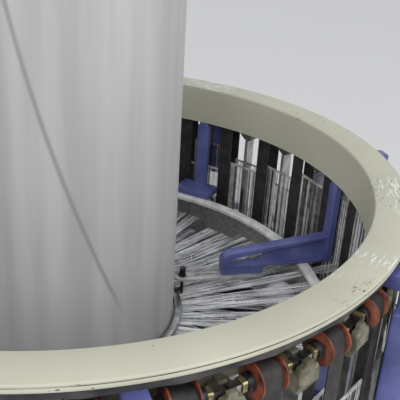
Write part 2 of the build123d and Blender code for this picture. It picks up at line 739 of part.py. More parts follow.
def heald_belts():
    """Endless belts: the inner run carries the inner frame, the outer run the outer frame."""
    half = BELT_WIDTH / 2
    belt = upright(belt_outline(BELT_FACE + BELT_THICK), -half, half)
    belt -= upright(belt_outline(BELT_FACE), -half - 1, half + 1)
    return around(belt, UNITS, UNIT_STEP / 2)


def heald_frame(x, eye_height):
    """One heald frame round its window, at this height."""
    half = FRAME_HALF_WINDOW + FRAME_BAR
    width = FRAME_HALF_WIDTH
    frame = block(x, x + FRAME_THICK, -width, width, eye_height - half, eye_height + half)
    opening = width - FRAME_BAR
    return frame - block(
        x - 1, x + FRAME_THICK + 1, -opening, opening,
        eye_height - FRAME_HALF_WINDOW, eye_height + FRAME_HALF_WINDOW,
    )


def inner_frame(eye_height):
    """Inner heald frame with its slider and the cam follower at the slider's foot."""
    half = SLIDER_WIDTH / 2
    top = eye_height - FRAME_HALF_WINDOW - FRAME_BAR
    high = eye_height - FOLLOWER_DROP + FOLLOWER_HEIGHT / 2
    foot = high - FOLLOWER_HEIGHT
    slider = upright([
        (CAM_OUTER + CAM_CLEAR, foot),
        (INNER_FRAME + FRAME_THICK, foot),
        (INNER_FRAME + FRAME_THICK, top),
        (INNER_FRAME, top),
        (INNER_FRAME, high),
        (CAM_OUTER + CAM_CLEAR, high),
    ], -half, half)
    return heald_frame(INNER_FRAME, eye_height) + slider


def outer_frame(eye_height):
    return heald_frame(OUTER_FRAME, eye_height)


def heald_group(first, sign):
    """Frames that move as one: those of every unit a quarter turn apart, in step with the cam."""
    frames = []
    for i in range(SHUTTLES):
        angle = (first + i * GROUPS) * UNIT_STEP
        lift = shed_lift(angle)
        rises = (i % 2 == 0) == (sign > 0)
        if rises:
            frames.append(at_angle(angle, inner_frame(EYE_MIDDLE + lift)))
        else:
            frames.append(at_angle(angle, outer_frame(EYE_MIDDLE - lift)))
    return frames


# Warp and cloth


def tape_strip(points, side):
    """A band of tapes: bent as its (x, z) line says, narrow at the fell and full width at the heald."""
    half = TAPE_THICK / 2
    top = [(x, z + half) for x, z in points]
    bottom = [(x, z - half) for x, z in reversed(points)]
    near = TAPE_OFFSET + TAPE_WIDTH
    band = upright(top + bottom, -near - 1, near + 1)
    fell_edge = FELL_RADIUS * tan(radians(UNIT_STEP / 2)) - 1
    end = points[-1][0] + 1
    start = FELL_RADIUS - 1
    plan = slab([
        (start, side), (INNER_EYE, side * TAPE_OFFSET), (end, side * TAPE_OFFSET),
        (end, side * near), (INNER_EYE, side * near), (start, side * fell_edge),
    ], LOWEST_EYE - 2, RING_TOP)
    return band & plan


def warp_tapes(outer):
    """The tapes drawn by one set of frames, from the inlet ring through reed and healds to the fell."""
    strips = []
    rest = INLET_TOP + TAPE_THICK / 2 + CLEAR
    last = INLET_RADIUS - INLET_TUBE * sin(radians(22.5))
    for unit in range(UNITS):
        angle = unit * UNIT_STEP
        lift = shed_lift(angle)
        if outer:
            eye = EYE_MIDDLE - lift
            bend_at = REED_OUTER - TAPE_BEND
            bend = (bend_at, warp_height(bend_at, eye))
            line = [(FELL_RADIUS, FELL_HEIGHT), bend, (OUTER_EYE, eye), (last, rest)]
            strips.append(at_angle(angle, tape_strip(line, -1)))
        else:
            eye = EYE_MIDDLE + lift
            line = [(FELL_RADIUS, FELL_HEIGHT), (INNER_EYE, eye), (last, rest)]
            strips.append(at_angle(angle, tape_strip(line, 1)))
    return strips


def inlet_ring():
    """Bright ring that the warp comes in over."""
    middle = INLET_TOP - INLET_TUBE * cos(radians(22.5))
    outline = Pos(INLET_RADIUS, middle) * Rot(0, 0, 22.5) * RegularPolygon(INLET_TUBE, 8)
    return [revolve(Plane.XZ * outline, Axis.Z)]


def inlet_ring_brackets():
    """Plates from the columns' backs that hold the inlet ring between the tapes."""
    half = TAPE_OFFSET - 1
    seat = INLET_RADIUS - INLET_TUBE * cos(radians(22.5)) - CLEAR / 2
    middle = INLET_TOP - INLET_TUBE * cos(radians(22.5))
    foot = WARP_SLOT_BOTTOM - 4 * LEG_WALL
    plate = upright([
        (LEG_OUTER, foot),
        (LEG_OUTER + LEG_WALL, foot),
        (seat, middle - 2 * LEG_WALL),
        (seat, middle + LEG_WALL / 2),
        (seat - LEG_WALL, middle + LEG_WALL / 2),
        (seat - LEG_WALL, middle - LEG_WALL),
        (LEG_OUTER, WARP_SLOT_BOTTOM),
    ], -half, half)
    return around(plate, STATIONS)


def cloth_body(inset):
    """Outside of the cloth, or its inside when inset: round, then flattening towards the nip."""
    radius = TUBE_RADIUS - inset
    thick = CLOTH + LAYER_GAP / 2 - inset
    half_flat = FLAT_WIDTH / 2 - inset
    bottom = FELL_HEIGHT - TAPE_THICK - 4 - inset
    top = NIP_HEIGHT + CLOTH_PAST_NIP + inset
    step = 360.0 / TUBE_SIDES
    last = TUBE_SIDES // 2 - 1
    turns = [radians(step * (i + 0.5)) for i in range(TUBE_SIDES)]
    circle = [(radius * cos(turn), radius * sin(turn)) for turn in turns]
    edge = [half_flat * (1 - 2 * i / last) for i in range(last + 1)]
    flat = [(x, thick) for x in edge] + [(-x, -thick) for x in edge]
    low = Wire.make_polygon([(x, y, FLATTEN_FROM) for x, y in circle])
    high = Wire.make_polygon([(x, y, FLAT_FROM) for x, y in flat])
    body = slab(circle, bottom, FLATTEN_FROM)
    body += Solid.make_loft([low, high], ruled=True)
    body += slab(flat, FLAT_FROM, top)
    return body


def fabric_tube():
    """The woven tube, open below at the fell and above past the nip."""
    return [cloth_body(0) - cloth_body(CLOTH)]


# Drive


def gearbox_housing():
    """Bearing housing of the main shaft on the cross of beams."""
    foot_top = BASE_TOP + HOUSING_FLANGE / 2
    housing = many_sided(HOUSING + HOUSING_FLANGE, SHAFT_SIDES, BASE_TOP, foot_top)
    housing += many_sided(HOUSING, SHAFT_SIDES, foot_top, HOUSING_TOP)
    return [housing - flat_bore(SHAFT + RUN_FIT, SHAFT_SIDES, BASE_TOP + HOUSING_FLOOR + 1, HOUSING_TOP)]


def main_shaft():
    bottom = BASE_TOP + HOUSING_FLOOR + CLEAR
    return [many_sided(SHAFT, SHAFT_SIDES, bottom, SHAFT_TOP)]


def on_shaft(radius, sides, bottom, top):
    """A many-sided hub or wheel with the main shaft's bore."""
    return many_sided(radius, sides, bottom, top) - flat_bore(SHAFT + RUN_FIT, SHAFT_SIDES, bottom, top)


def main_pulley():
    return [on_shaft(PULLEY, WHEEL_SIDES, PULLEY_BOTTOM, PULLEY_BOTTOM + PULLEY_WIDTH)]


def motor_place():
    return Rot(0, 0, MOTOR_ANGLE) * Pos(MOTOR_DISTANCE, 0, 0)


def drive_motor():
    """Flange motor hung in its plate, with its shaft upwards."""
    flange_top = BASE_TOP + MOTOR_FLANGE_THICK
    motor = many_sided(MOTOR_FLANGE, SHAFT_SIDES, BASE_TOP, flange_top)
    motor += many_sided(MOTOR_RADIUS, SHAFT_SIDES, BASE_TOP - MOTOR_LENGTH, BASE_TOP)
    motor += many_sided(MOTOR_SHAFT, SMALL_SIDES, flange_top, PULLEY_BOTTOM + PULLEY_WIDTH)
    return [motor_place() * motor]


def motor_pulley():
    top = PULLEY_BOTTOM + PULLEY_WIDTH
    wheel = many_sided(MOTOR_PULLEY, SHAFT_SIDES, PULLEY_BOTTOM, top)
    wheel -= flat_bore(MOTOR_SHAFT + RUN_FIT, SMALL_SIDES, PULLEY_BOTTOM, top)
    return [motor_place() * wheel]


def belt_loop(offset):
    """Outline of a belt round both pulleys, this far off their rims."""
    large = flat_sided(PULLEY + offset, WHEEL_SIDES).edges()
    small = (Pos(MOTOR_DISTANCE, 0) * flat_sided(MOTOR_PULLEY + offset, SHAFT_SIDES)).edges()
    return make_hull([*large, *small])


def drive_belt():
    loop = belt_loop(CLEAR + DRIVE_BELT_THICK) - belt_loop(CLEAR)
    return [Rot(0, 0, MOTOR_ANGLE) * Pos(0, 0, PULLEY_BOTTOM) * extrude(loop, PULLEY_WIDTH)]


def cam_wave(shift):
    """Solid under a wave that rises and falls twice a turn: a saddle of straight lines."""
    reach = CAM_OUTER * 1.5
    rise = EYE_TRAVEL * (reach / CAM_OUTER) ** 2
    middle = CAM_MIDDLE + shift
    corners = [
        [(reach, 0, middle + rise), (0, reach, middle - rise)],
        [(0, -reach, middle - rise), (-reach, 0, middle + rise)],
    ]
    saddle = Face.make_bezier_surface(corners)
    drop = 2 * rise + 2 * CAM_MIDDLE
    return Rot(0, 0, SHED_START) * extrude(saddle, drop, dir=(0, 0, -1))


def cam_wheel():
    """Spoked wheel with a drum whose rim ridge lifts the inner heald frames."""
    half = CAM_RIDGE_HEIGHT / 2
    highest = CAM_MIDDLE + EYE_TRAVEL + CAM_RIDGE_HEIGHT
    wall_outer = CAM_INNER + CAM_WALL
    wall = tube_ring(CAM_INNER, wall_outer, CAM_BOTTOM, highest) & cam_wave(half)
    ridge = tube_ring(wall_outer - 1, CAM_OUTER, CAM_BOTTOM, highest) & cam_wave(half)
    ridge -= cam_wave(-half)
    wheel = wall + ridge
    spoke_top = CAM_BOTTOM + SPOKE_HEIGHT
    spoke_width = SPOKE_WIDTH / 2
    spoke = block(HUB_RADIUS - 5, CAM_INNER + 1, -spoke_width, spoke_width, CAM_BOTTOM, spoke_top)
    for arm in around(spoke, SPOKES):
        wheel += arm
    return [wheel + on_shaft(HUB_RADIUS, SMALL_SIDES, CAM_BOTTOM, spoke_top)]


def shuttle_drive_spider():
    """Hub with an arm to each shuttle, and two pushers at each arm's end."""
    top = SPIDER_BOTTOM + SPIDER_HEIGHT
    width = SPIDER_ARM_WIDTH / 2
    reach = PUSHER_SPAN + PUSHER_SIZE / 2
    next_lift = shed_lift(SHED_START + UNIT_STEP)
    pusher_end = SPIDER_REACH - (PUSHER_BAR - PUSHER_SIZE) / 2
    far = hypot(pusher_end, reach)
    pusher_top = warp_height(far, EYE_MIDDLE - next_lift) - TAPE_THICK / 2 - CLEAR
    arm = block(HUB_RADIUS - 5, SPIDER_REACH, -width, width, SPIDER_BOTTOM, top)
    arm += block(SPIDER_REACH - PUSHER_BAR, SPIDER_REACH, -reach, reach, SPIDER_BOTTOM, top)
    for side in (-1, 1):
        centre = side * PUSHER_SPAN
        pusher_side = centre + PUSHER_SIZE / 2
        arm += block(
            pusher_end - PUSHER_SIZE, pusher_end, pusher_side - PUSHER_SIZE, pusher_side, top - 1, pusher_top
        )
    spider = on_shaft(HUB_RADIUS, SMALL_SIDES, SPIDER_BOTTOM, top)
    for copy in around(arm, SHUTTLES, SHED_START):
        spider += copy
    return [spider]


def shuttle_carrier():
    """Shuttle: an outer beam with wheels, two end plates, two pointed noses and the bobbin's spindle."""
    end = BOBBIN_CORE_LENGTH / 2 + 2 * CLEAR
    outside = end + CARRIER_WALL
    low = BOBBIN_HEIGHT - CARRIER_HEIGHT / 2
    high = BOBBIN_HEIGHT + CARRIER_HEIGHT / 2
    nose_low = BOBBIN_HEIGHT - NOSE_HEIGHT / 2
    nose_high = BOBBIN_HEIGHT + NOSE_HEIGHT / 2
    beam_inner = CARRIER_OUTER - CARRIER_BEAM
    next_lift = shed_lift(SHED_START + UNIT_STEP)
    wheel_start = beam_inner - WHEEL_THICK
    wheel_corner = hypot(wheel_start, WHEEL_SPAN - WHEEL_RADIUS)
    wheel_low = warp_height(wheel_corner, EYE_MIDDLE - next_lift) + TAPE_THICK / 2 + CLEAR
    wheel_height = wheel_low + WHEEL_RADIUS * cos(radians(22.5))
    carrier = block(beam_inner, CARRIER_OUTER, -outside, outside, wheel_height - WHEEL_RADIUS / 2, high)
    tip = outside + NOSE_LENGTH
    tip_x = BOBBIN_AT + NOSE_TIP / 2
    for side in (-1, 1):
        span = sorted((side * end, side * outside))
        carrier += block(CARRIER_INNER, CARRIER_OUTER, *span, low, high)
        carrier += slab([
            (CARRIER_INNER + 2, side * (outside - 1)),
            (CARRIER_OUTER - 4, side * (outside - 1)),
            (CARRIER_OUTER - 20, side * (outside + NOSE_LENGTH / 2)),
            (tip_x + NOSE_TIP, side * tip),
            (tip_x, side * tip),
            (CARRIER_INNER + 6, side * (outside + NOSE_LENGTH / 2)),
        ], nose_low, nose_high)
        wheel = Rot(0, 90, 0) * extrude(RegularPolygon(WHEEL_RADIUS, 8, rotation=22.5), WHEEL_THICK + 1)
        carrier += Pos(wheel_start, side * WHEEL_SPAN, wheel_height) * wheel
    return carrier + bar_along_y(SPINDLE, 6, -end, end, BOBBIN_AT, BOBBIN_HEIGHT)


def bobbin():
    """Wound bobbin on its core, free to turn on the spindle."""
    half = BOBBIN_LENGTH / 2
    core = BOBBIN_CORE_LENGTH / 2
    bore = (SPINDLE + RUN_FIT) / cos(radians(30))
    wound = bar_along_y(BOBBIN_RADIUS, SMALL_SIDES, -half, half, BOBBIN_AT, BOBBIN_HEIGHT)
    wound += bar_along_y(BOBBIN_CORE, 6, -core, core, BOBBIN_AT, BOBBIN_HEIGHT)
    return wound - bar_along_y(bore, 6, -core - 1, core + 1, BOBBIN_AT, BOBBIN_HEIGHT)


# Take-up tower


def tower_frame():
    """Portal over the loom: two posts, a cross beam and the nip rollers' bearing plates."""
    half = TOWER_POST_DEPTH / 2
    foot_half = TOWER_FOOT / 2
    post = block(TOWER_X, TOWER_OUTER, -half, half, TOWER_FOOT_THICK, BEAM_BOTTOM)
    post += block(
        TOWER_X - TOWER_FOOT_PAST, TOWER_OUTER + TOWER_FOOT_PAST, -foot_half, foot_half, 0, TOWER_FOOT_THICK
    )
    bearing = block(
        TOWER_X - BEARING_PLATE, TOWER_X, -BEARING_DEPTH / 2, BEARING_DEPTH / 2,
        NIP_HEIGHT - BEARING_HEIGHT / 2, NIP_HEIGHT + BEARING_HEIGHT / 2,
    )
    for side in (-1, 1):
        hole = flat_bore(NIP_JOURNAL + RUN_FIT, SMALL_SIDES, TOWER_X - BEARING_PLATE, TOWER_X)
        bearing -= Pos(0, side * NIP_OFFSET, NIP_HEIGHT) * (Rot(0, 90, 0) * hole)
    post += bearing
    frame = post + at_angle(180, post)
    frame += block(-TOWER_OUTER, TOWER_OUTER, -half, half, BEAM_BOTTOM, BEAM_BOTTOM + BEAM_HEIGHT)
    return [frame]


def nip_roller(side, drive_end):
    """Rubbered roller with journals; the driven one reaches into the gear motor."""
    face = TOWER_X - BEARING_PLATE - NIP_END_GAP
    journal_end = TOWER_X + GEARMOTOR_BORE - CLEAR if drive_end else TOWER_X
    roller = many_sided(NIP_ROLLER, SHAFT_SIDES, -face, face)
    roller += many_sided(NIP_JOURNAL, SMALL_SIDES, face, journal_end)
    roller += many_sided(NIP_JOURNAL, SMALL_SIDES, -TOWER_X, -face)
    return Pos(0, side * NIP_OFFSET, NIP_HEIGHT) * (Rot(0, 90, 0) * roller)


def take_up_gearmotor():
    """Gear motor beside the tower post, on the driven roller's journal."""
    half = GEARMOTOR_WIDTH / 2
    near = -TOWER_POST_DEPTH / 2
    body = block(TOWER_X, TOWER_OUTER, near - GEARMOTOR_WIDTH, near, NIP_HEIGHT - half, NIP_HEIGHT + half)
    bore = flat_bore(NIP_JOURNAL + RUN_FIT, SMALL_SIDES, TOWER_X, TOWER_X + GEARMOTOR_BORE - 1)
    return [body - Pos(0, -NIP_OFFSET, NIP_HEIGHT) * (Rot(0, 90, 0) * bore)]


os.makedirs("parts", exist_ok=True)

write("base_frame", base_frame())
write("feet", feet())
write("gearbox_housing", gearbox_housing())
write("drive_motor", drive_motor())
write("motor_pulley", motor_pulley())
write("drive_belt", drive_belt())
write("main_pulley", main_pulley())
write("main_shaft", main_shaft())
write("cam_wheel", cam_wheel())
write("shuttle_drive_spider", shuttle_drive_spider())
write("bed_ring", bed_ring())
write("columns", columns())
write("top_ring", top_ring())
write("cover_ring", cover_ring())
write("reed_ring_posts", reed_ring_posts())
write("ring_arms", ring_arms())
write("arm_plates", arm_plates())
write("arm_pins", arm_pins())
write("weaving_ring", weaving_ring())
write("upper_reed_ring", upper_reed_ring())
write("lower_reed_ring", lower_reed_ring())
write("lower_reed_arms", lower_reed_arms())
write("reed_dents", reed_dents())
write("guide_bars", guide_bars())
write("roller_brackets", roller_brackets())
write("belt_rollers", belt_rollers())
write("heald_belts", heald_belts())
write("inlet_ring", inlet_ring())
write("inlet_ring_brackets", inlet_ring_brackets())
write("warp_tapes_inner", warp_tapes(False))
write("warp_tapes_outer", warp_tapes(True))
write("fabric_tube", fabric_tube())
write("tower_frame", tower_frame())
write("nip_roller_driven", [nip_roller(-1, True)])
write("nip_roller_pressing", [nip_roller(1, False)])
write("take_up_gearmotor", take_up_gearmotor())

for number in range(SHUTTLES):
    place = SHED_START + number * SHUTTLE_STEP
    write(f"shuttle_{number + 1}", [at_angle(place, shuttle_carrier())])
    write(f"bobbin_{number + 1}", [at_angle(place, bobbin())])

for group in range(GROUPS):
    write(f"healds_a{group + 1}", heald_group(group, 1))
    write(f"healds_b{group + 1}", heald_group(group, -1))
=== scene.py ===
"""The circular loom's finishes and fine pieces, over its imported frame. Metres, +Z up."""

import bmesh
import bpy
import random
from math import cos, pi, radians, sin
from mathutils import Matrix, Vector


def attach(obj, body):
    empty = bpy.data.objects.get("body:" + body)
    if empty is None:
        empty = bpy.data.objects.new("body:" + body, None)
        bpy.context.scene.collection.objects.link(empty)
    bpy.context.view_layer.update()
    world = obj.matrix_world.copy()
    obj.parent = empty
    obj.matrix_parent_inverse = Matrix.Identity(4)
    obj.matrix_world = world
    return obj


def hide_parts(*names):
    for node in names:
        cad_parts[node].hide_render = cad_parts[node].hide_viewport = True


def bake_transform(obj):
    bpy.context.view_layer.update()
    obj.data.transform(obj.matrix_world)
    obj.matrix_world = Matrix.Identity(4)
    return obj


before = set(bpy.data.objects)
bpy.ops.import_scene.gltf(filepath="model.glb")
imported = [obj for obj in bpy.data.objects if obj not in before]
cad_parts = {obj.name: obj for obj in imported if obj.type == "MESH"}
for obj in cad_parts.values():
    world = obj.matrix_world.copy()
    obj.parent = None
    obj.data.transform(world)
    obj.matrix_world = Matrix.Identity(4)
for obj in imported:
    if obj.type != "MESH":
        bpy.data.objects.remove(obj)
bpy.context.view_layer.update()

# Camera: it looks down over the near side of the cover ring, from head height and to the left.
# Its place, aim and lens come from a fit to the edges of the cover ring and the cloth.
camera_place = Vector((-0.18181, -1.54664, 1.72643))
camera_aim = Vector((0.28566, 0.85634, -0.43021))
camera_up = Vector((0.07726, 0.42687, 0.90100))
sensor_width = 36.0
focal_pixels = 725.128
picture_pixels = 400
camera_side = camera_aim.cross(camera_up).normalized()
camera_turn = Matrix((camera_side, camera_side.cross(camera_aim), -camera_aim)).transposed()
camera = bpy.data.objects.new("camera", bpy.data.cameras.new("camera"))
camera.data.sensor_width = sensor_width
camera.data.lens = sensor_width * focal_pixels / picture_pixels
camera.data.clip_start = 0.05
camera.matrix_world = Matrix.Translation(camera_place) @ camera_turn.to_4x4()
bpy.context.collection.objects.link(camera)
bpy.context.scene.camera = camera

# Floor and light: a plain pale floor, an even sky and two broad soft lamps high in front of the loom.
# The helpers that make pieces and finishes stand here, where they are first needed.
bpy.context.scene.view_settings.view_transform = "Standard"


def mesh_piece(name, points, faces, finish, smooth_angle=35):
    """A new piece from its points and faces, with edges sharper than the angle left crisp."""
    mesh = bpy.data.meshes.new(name)
    mesh.from_pydata(points, [], faces)
    mesh.validate()
    if smooth_angle:
        mesh.shade_smooth()
        mesh.set_sharp_from_angle(angle=radians(smooth_angle))
    mesh.materials.append(finish)
    piece = bpy.data.objects.new(name, mesh)
    bpy.context.collection.objects.link(piece)
    return piece


def plain_finish(name, colour, roughness, metallic=0.0):
    """A material with its shader, ready for the nodes that vary it."""
    finish = bpy.data.materials.new(name)
    finish.use_nodes = True
    shader = finish.node_tree.nodes["Principled BSDF"]
    shader.inputs["Base Color"].default_value = (*colour, 1)
    shader.inputs["Roughness"].default_value = roughness
    shader.inputs["Metallic"].default_value = metallic
    return finish


def node(finish, kind, **settings):
    """A new shader node; each setting goes to the input or property of that name."""
    made = finish.node_tree.nodes.new(kind)
    for key, value in settings.items():
        if key in made.inputs:
            made.inputs[key].default_value = value
        else:
            setattr(made, key, value)
    return made


def join(finish, out_node, out_name, in_node, in_name):
    """Links one node's output to another's input."""
    finish.node_tree.links.new(out_node.outputs[out_name], in_node.inputs[in_name])


floor_reach = 9
floor_finish = plain_finish("floor_screed", (0.80, 0.79, 0.77), 0.8)
floor_noise = node(floor_finish, "ShaderNodeTexNoise", Scale=3.0, Detail=6.0)
floor_ramp = node(floor_finish, "ShaderNodeValToRGB")
floor_ramp.color_ramp.elements[0].color = (0.72, 0.71, 0.69, 1)
floor_ramp.color_ramp.elements[1].color = (0.82, 0.81, 0.79, 1)
join(floor_finish, floor_noise, "Fac", floor_ramp, "Fac")
join(floor_finish, floor_ramp, "Color", floor_finish.node_tree.nodes["Principled BSDF"], "Base Color")
floor_corners = [
    (-floor_reach, -floor_reach, 0), (floor_reach, -floor_reach, 0),
    (floor_reach, floor_reach, 0), (-floor_reach, floor_reach, 0),
]
floor = mesh_piece("floor", floor_corners, [(0, 1, 2, 3)], floor_finish, 0)

world = bpy.data.worlds.new("even_sky")
world.use_nodes = True
world.node_tree.nodes["Background"].inputs["Color"].default_value = (0.93, 0.95, 1.0, 1)
world.node_tree.nodes["Background"].inputs["Strength"].default_value = 0.78
bpy.context.scene.world = world


def soft_lamp(name, place, aim, size, power):
    """A round lamp of this width and power that shines from its place towards its aim."""
    lamp = bpy.data.objects.new(name, bpy.data.lights.new(name, "AREA"))
    lamp.data.shape = "DISK"
    lamp.data.size = size
    lamp.data.energy = power
    lamp.location = place
    lamp.rotation_euler = (Vector(aim) - Vector(place)).to_track_quat("-Z", "Y").to_euler()
    bpy.context.collection.objects.link(lamp)


soft_lamp("lamp_over_left", (-2.0, -3.3, 3.7), (0, 0, 0.9), 3.0, 66)
soft_lamp("lamp_over_right", (2.3, -3.0, 3.5), (0, 0, 0.9), 3.0, 60)


# Base frame and feet: an octagon and a cross of beams, welded from steel and enamelled deep blue.
# The enamel is rubbed and oily, with small chips. Cast iron feet under it are bolted to the floor.

# A mix node's colour sockets share their names with others, so they go by number.
mix_first = 6
mix_second = 7
mix_result = 2
noise_span = (0.3, 0.7)
chip_edge = 0.02
eased_above = 32
crisp_above = 40
weld_distance = 0.00002
flat_within = 1


def vary(finish, low, high, scale, detail=5.0, stretch=(1, 1, 1), at=(0.35, 0.65)):
    """Lets the base colour wander between two colours, in blotches of this many to the metre."""
    place = node(finish, "ShaderNodeTexCoord")
    mapping = node(finish, "ShaderNodeMapping", Scale=stretch)
    noise = node(finish, "ShaderNodeTexNoise", Scale=scale, Detail=detail)
    ramp = node(finish, "ShaderNodeValToRGB")
    ramp.color_ramp.elements[0].position = at[0]
    ramp.color_ramp.elements[1].position = at[1]
    ramp.color_ramp.elements[0].color = (*low, 1)
    ramp.color_ramp.elements[1].color = (*high, 1)
    join(finish, place, "Object", mapping, "Vector")
    join(finish, mapping, "Vector", noise, "Vector")
    join(finish, noise, "Fac", ramp, "Fac")
    join(finish, ramp, "Color", finish.node_tree.nodes["Principled BSDF"], "Base Color")
    return ramp


def roughen(finish, scale, low, high, bump, distance=0.0004, stretch=(1, 1, 1)):
    """Uneven gloss and a fine relief at this many grains to the metre."""
    shader = finish.node_tree.nodes["Principled BSDF"]
    place = node(finish, "ShaderNodeTexCoord")
    mapping = node(finish, "ShaderNodeMapping", Scale=stretch)
    noise = node(finish, "ShaderNodeTexNoise", Scale=scale, Detail=4.0)
    spread = node(finish, "ShaderNodeMapRange")
    spread.inputs["From Min"].default_value = noise_span[0]
    spread.inputs["From Max"].default_value = noise_span[1]
    spread.inputs["To Min"].default_value = low
    spread.inputs["To Max"].default_value = high
    relief = node(finish, "ShaderNodeBump", Strength=bump, Distance=distance)
    join(finish, place, "Object", mapping, "Vector")
    join(finish, mapping, "Vector", noise, "Vector")
    join(finish, noise, "Fac", spread, "Value")
    join(finish, spread, "Result", shader, "Roughness")
    join(finish, noise, "Fac", relief, "Height")
    join(finish, relief, "Normal", shader, "Normal")
    return relief


def chip(finish, base_ramp, under, scale, share, stretch=(1, 1, 1)):
    """Small chips and rubbed spots that show what lies under the paint."""
    shader = finish.node_tree.nodes["Principled BSDF"]
    place = node(finish, "ShaderNodeTexCoord")
    mapping = node(finish, "ShaderNodeMapping", Scale=stretch)
    spots = node(finish, "ShaderNodeTexNoise", Scale=scale, Detail=7.0, Roughness=0.65)
    edge = node(finish, "ShaderNodeValToRGB")
    edge.color_ramp.elements[0].position = 1 - share
    edge.color_ramp.elements[1].position = min(1.0, 1 - share + chip_edge)
    mixed = node(finish, "ShaderNodeMix", data_type="RGBA")
    mixed.inputs[mix_second].default_value = (*under, 1)
    join(finish, place, "Object", mapping, "Vector")
    join(finish, mapping, "Vector", spots, "Vector")
    join(finish, spots, "Fac", edge, "Fac")
    join(finish, edge, "Color", mixed, "Factor")
    finish.node_tree.links.new(base_ramp.outputs["Color"], mixed.inputs[mix_first])
    finish.node_tree.links.new(mixed.outputs[mix_result], shader.inputs["Base Color"])


def ease_edges(piece, width, segments):
    """Rounds every sharp edge of a piece to this width."""
    finish = piece.data.materials[0]
    bevel = piece.modifiers.new("eased_edges", "BEVEL")
    bevel.width = width
    bevel.segments = segments
    bevel.limit_method = "ANGLE"
    bevel.angle_limit = radians(eased_above)
    bpy.context.view_layer.update()
    graph = bpy.context.evaluated_depsgraph_get()
    made = bpy.data.meshes.new_from_object(piece.evaluated_get(graph))
    piece.modifiers.clear()
    piece.data = made
    made.shade_smooth()
    made.set_sharp_from_angle(angle=radians(crisp_above))
    made.materials.clear()
    made.materials.append(finish)


def eased(name, node_name, width, finish, body="frame", segments=2):
    """The node's own solid with its edges eased to this width, as castings and painted steel have."""
    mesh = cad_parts[node_name].data.copy()
    mesh.materials.clear()
    mesh.materials.append(finish)
    shape = bmesh.new()
    shape.from_mesh(mesh)
    bmesh.ops.remove_doubles(shape, verts=shape.verts, dist=weld_distance)
    bmesh.ops.dissolve_limit(shape, angle_limit=radians(flat_within), verts=shape.verts, edges=shape.edges)
    shape.to_mesh(mesh)
    shape.free()
    piece = bpy.data.objects.new(name, mesh)
    bpy.context.collection.objects.link(piece)
    ease_edges(piece, width, segments)
    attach(piece, body)
    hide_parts(node_name)
    return piece


def dress(finish, *names):
    """Gives a finish to nodes whose own shape stays."""
    for name in names:
        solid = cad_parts[name]
        for place in solid.material_slots:
            place.material = finish


blue_enamel = plain_finish("blue_enamel", (0.10, 0.115, 0.31), 0.36)
blue_enamel.node_tree.nodes["Principled BSDF"].inputs["Coat Weight"].default_value = 0.25
blue_tone = vary(blue_enamel, (0.068, 0.080, 0.235), (0.120, 0.140, 0.36), 14)
roughen(blue_enamel, 260, 0.28, 0.48, 0.12)
chip(blue_enamel, blue_tone, (0.30, 0.31, 0.36), 95, 0.30)
eased("base_beams", "base_frame", 0.004, blue_enamel)

dark_casting = plain_finish("dark_casting", (0.06, 0.06, 0.065), 0.55, 0.35)
vary(dark_casting, (0.030, 0.030, 0.033), (0.085, 0.08, 0.075), 22)
roughen(dark_casting, 700, 0.45, 0.7, 0.35)
eased("anchor_feet", "feet", 0.002, dark_casting)

# Drive: a flange motor, hung in the base, turns the main shaft's large pulley through a flat belt.
# The pulleys are turned from cast iron, the shaft is ground steel and the belt is rubberised.
ground_steel = plain_finish("ground_steel", (0.42, 0.42, 0.41), 0.3, 1.0)
vary(ground_steel, (0.30, 0.30, 0.29), (0.50, 0.50, 0.48), 35)
roughen(ground_steel, 500, 0.2, 0.42, 0.08, stretch=(1, 1, 6))
belt_rubber = plain_finish("belt_rubber", (0.025, 0.023, 0.02), 0.6)
vary(belt_rubber, (0.014, 0.012, 0.011), (0.040, 0.033, 0.030), 40)
roughen(belt_rubber, 900, 0.45, 0.75, 0.4)

dress(ground_steel, "main_shaft")
dress(belt_rubber, "drive_belt")
eased("motor_housing", "drive_motor", 0.003, blue_enamel)
eased("shaft_housing", "gearbox_housing", 0.004, blue_enamel)
eased("large_pulley", "main_pulley", 0.002, dark_casting, "rotor")
eased("small_pulley", "motor_pulley", 0.002, dark_casting, "motor_wheel")

# Cam wheel and spider: iron castings fixed on the main shaft, machined only where they run.
# The wheel's wave ridge lifts the inner heald frames, and the spider pushes the shuttles round.
dress(dark_casting, "cam_wheel")
eased("pusher_spider", "shuttle_drive_spider", 0.003, dark_casting, "rotor")

# Bed ring and columns: cast columns stand on the base, tied together by a flat steel ring, all in
# the same blue enamel. Their arms carry the dark top ring.
eased("bed_flange", "bed_ring", 0.002, blue_enamel)
eased("cast_columns", "columns", 0.005, blue_enamel, segments=3)
dress(dark_casting, "top_ring")

# Cover ring: pressed steel over the top ring, with a deep inner skirt and a rolled outer lip.
# Its cream enamel is rubbed thin where hands pass, with chips along the rim.
arc_radius = 0.74


def ring_points(radius, count, height):
    """Points evenly round the axis at one height."""
    angles = [2 * pi * i / count for i in range(count)]
    return [(radius * cos(angle), radius * sin(angle), height) for angle in angles]


def many_turned(name, outline, finish, places, count, angle=30):
    """Copies of one turned (radius, height) outline, each laid by its own matrix, as one piece."""
    points = []
    faces = []
    size = len(outline)
    for matrix in places:
        start = len(points)
        for radius, height in outline:
            points += [tuple(matrix @ Vector(p)) for p in ring_points(radius, count, height)]
        for row in range(size):
            below = start + row * count
            above = start + ((row + 1) % size) * count
            for i in range(count):
                j = (i + 1) % count
                faces.append((below + i, below + j, above + j, above + i))
    return mesh_piece(name, points, faces, finish, angle)


def turned(name, outline, finish, count, angle=30):
    """One piece turned round the loom's own axis."""
    return many_turned(name, outline, finish, [Matrix.Identity(4)], count, angle)


cream_enamel = plain_finish("cream_enamel", (0.52, 0.51, 0.40), 0.5)
vary(cream_enamel, (0.475, 0.465, 0.36), (0.56, 0.55, 0.435), 3)
roughen(cream_enamel, 320, 0.42, 0.6, 0.06)


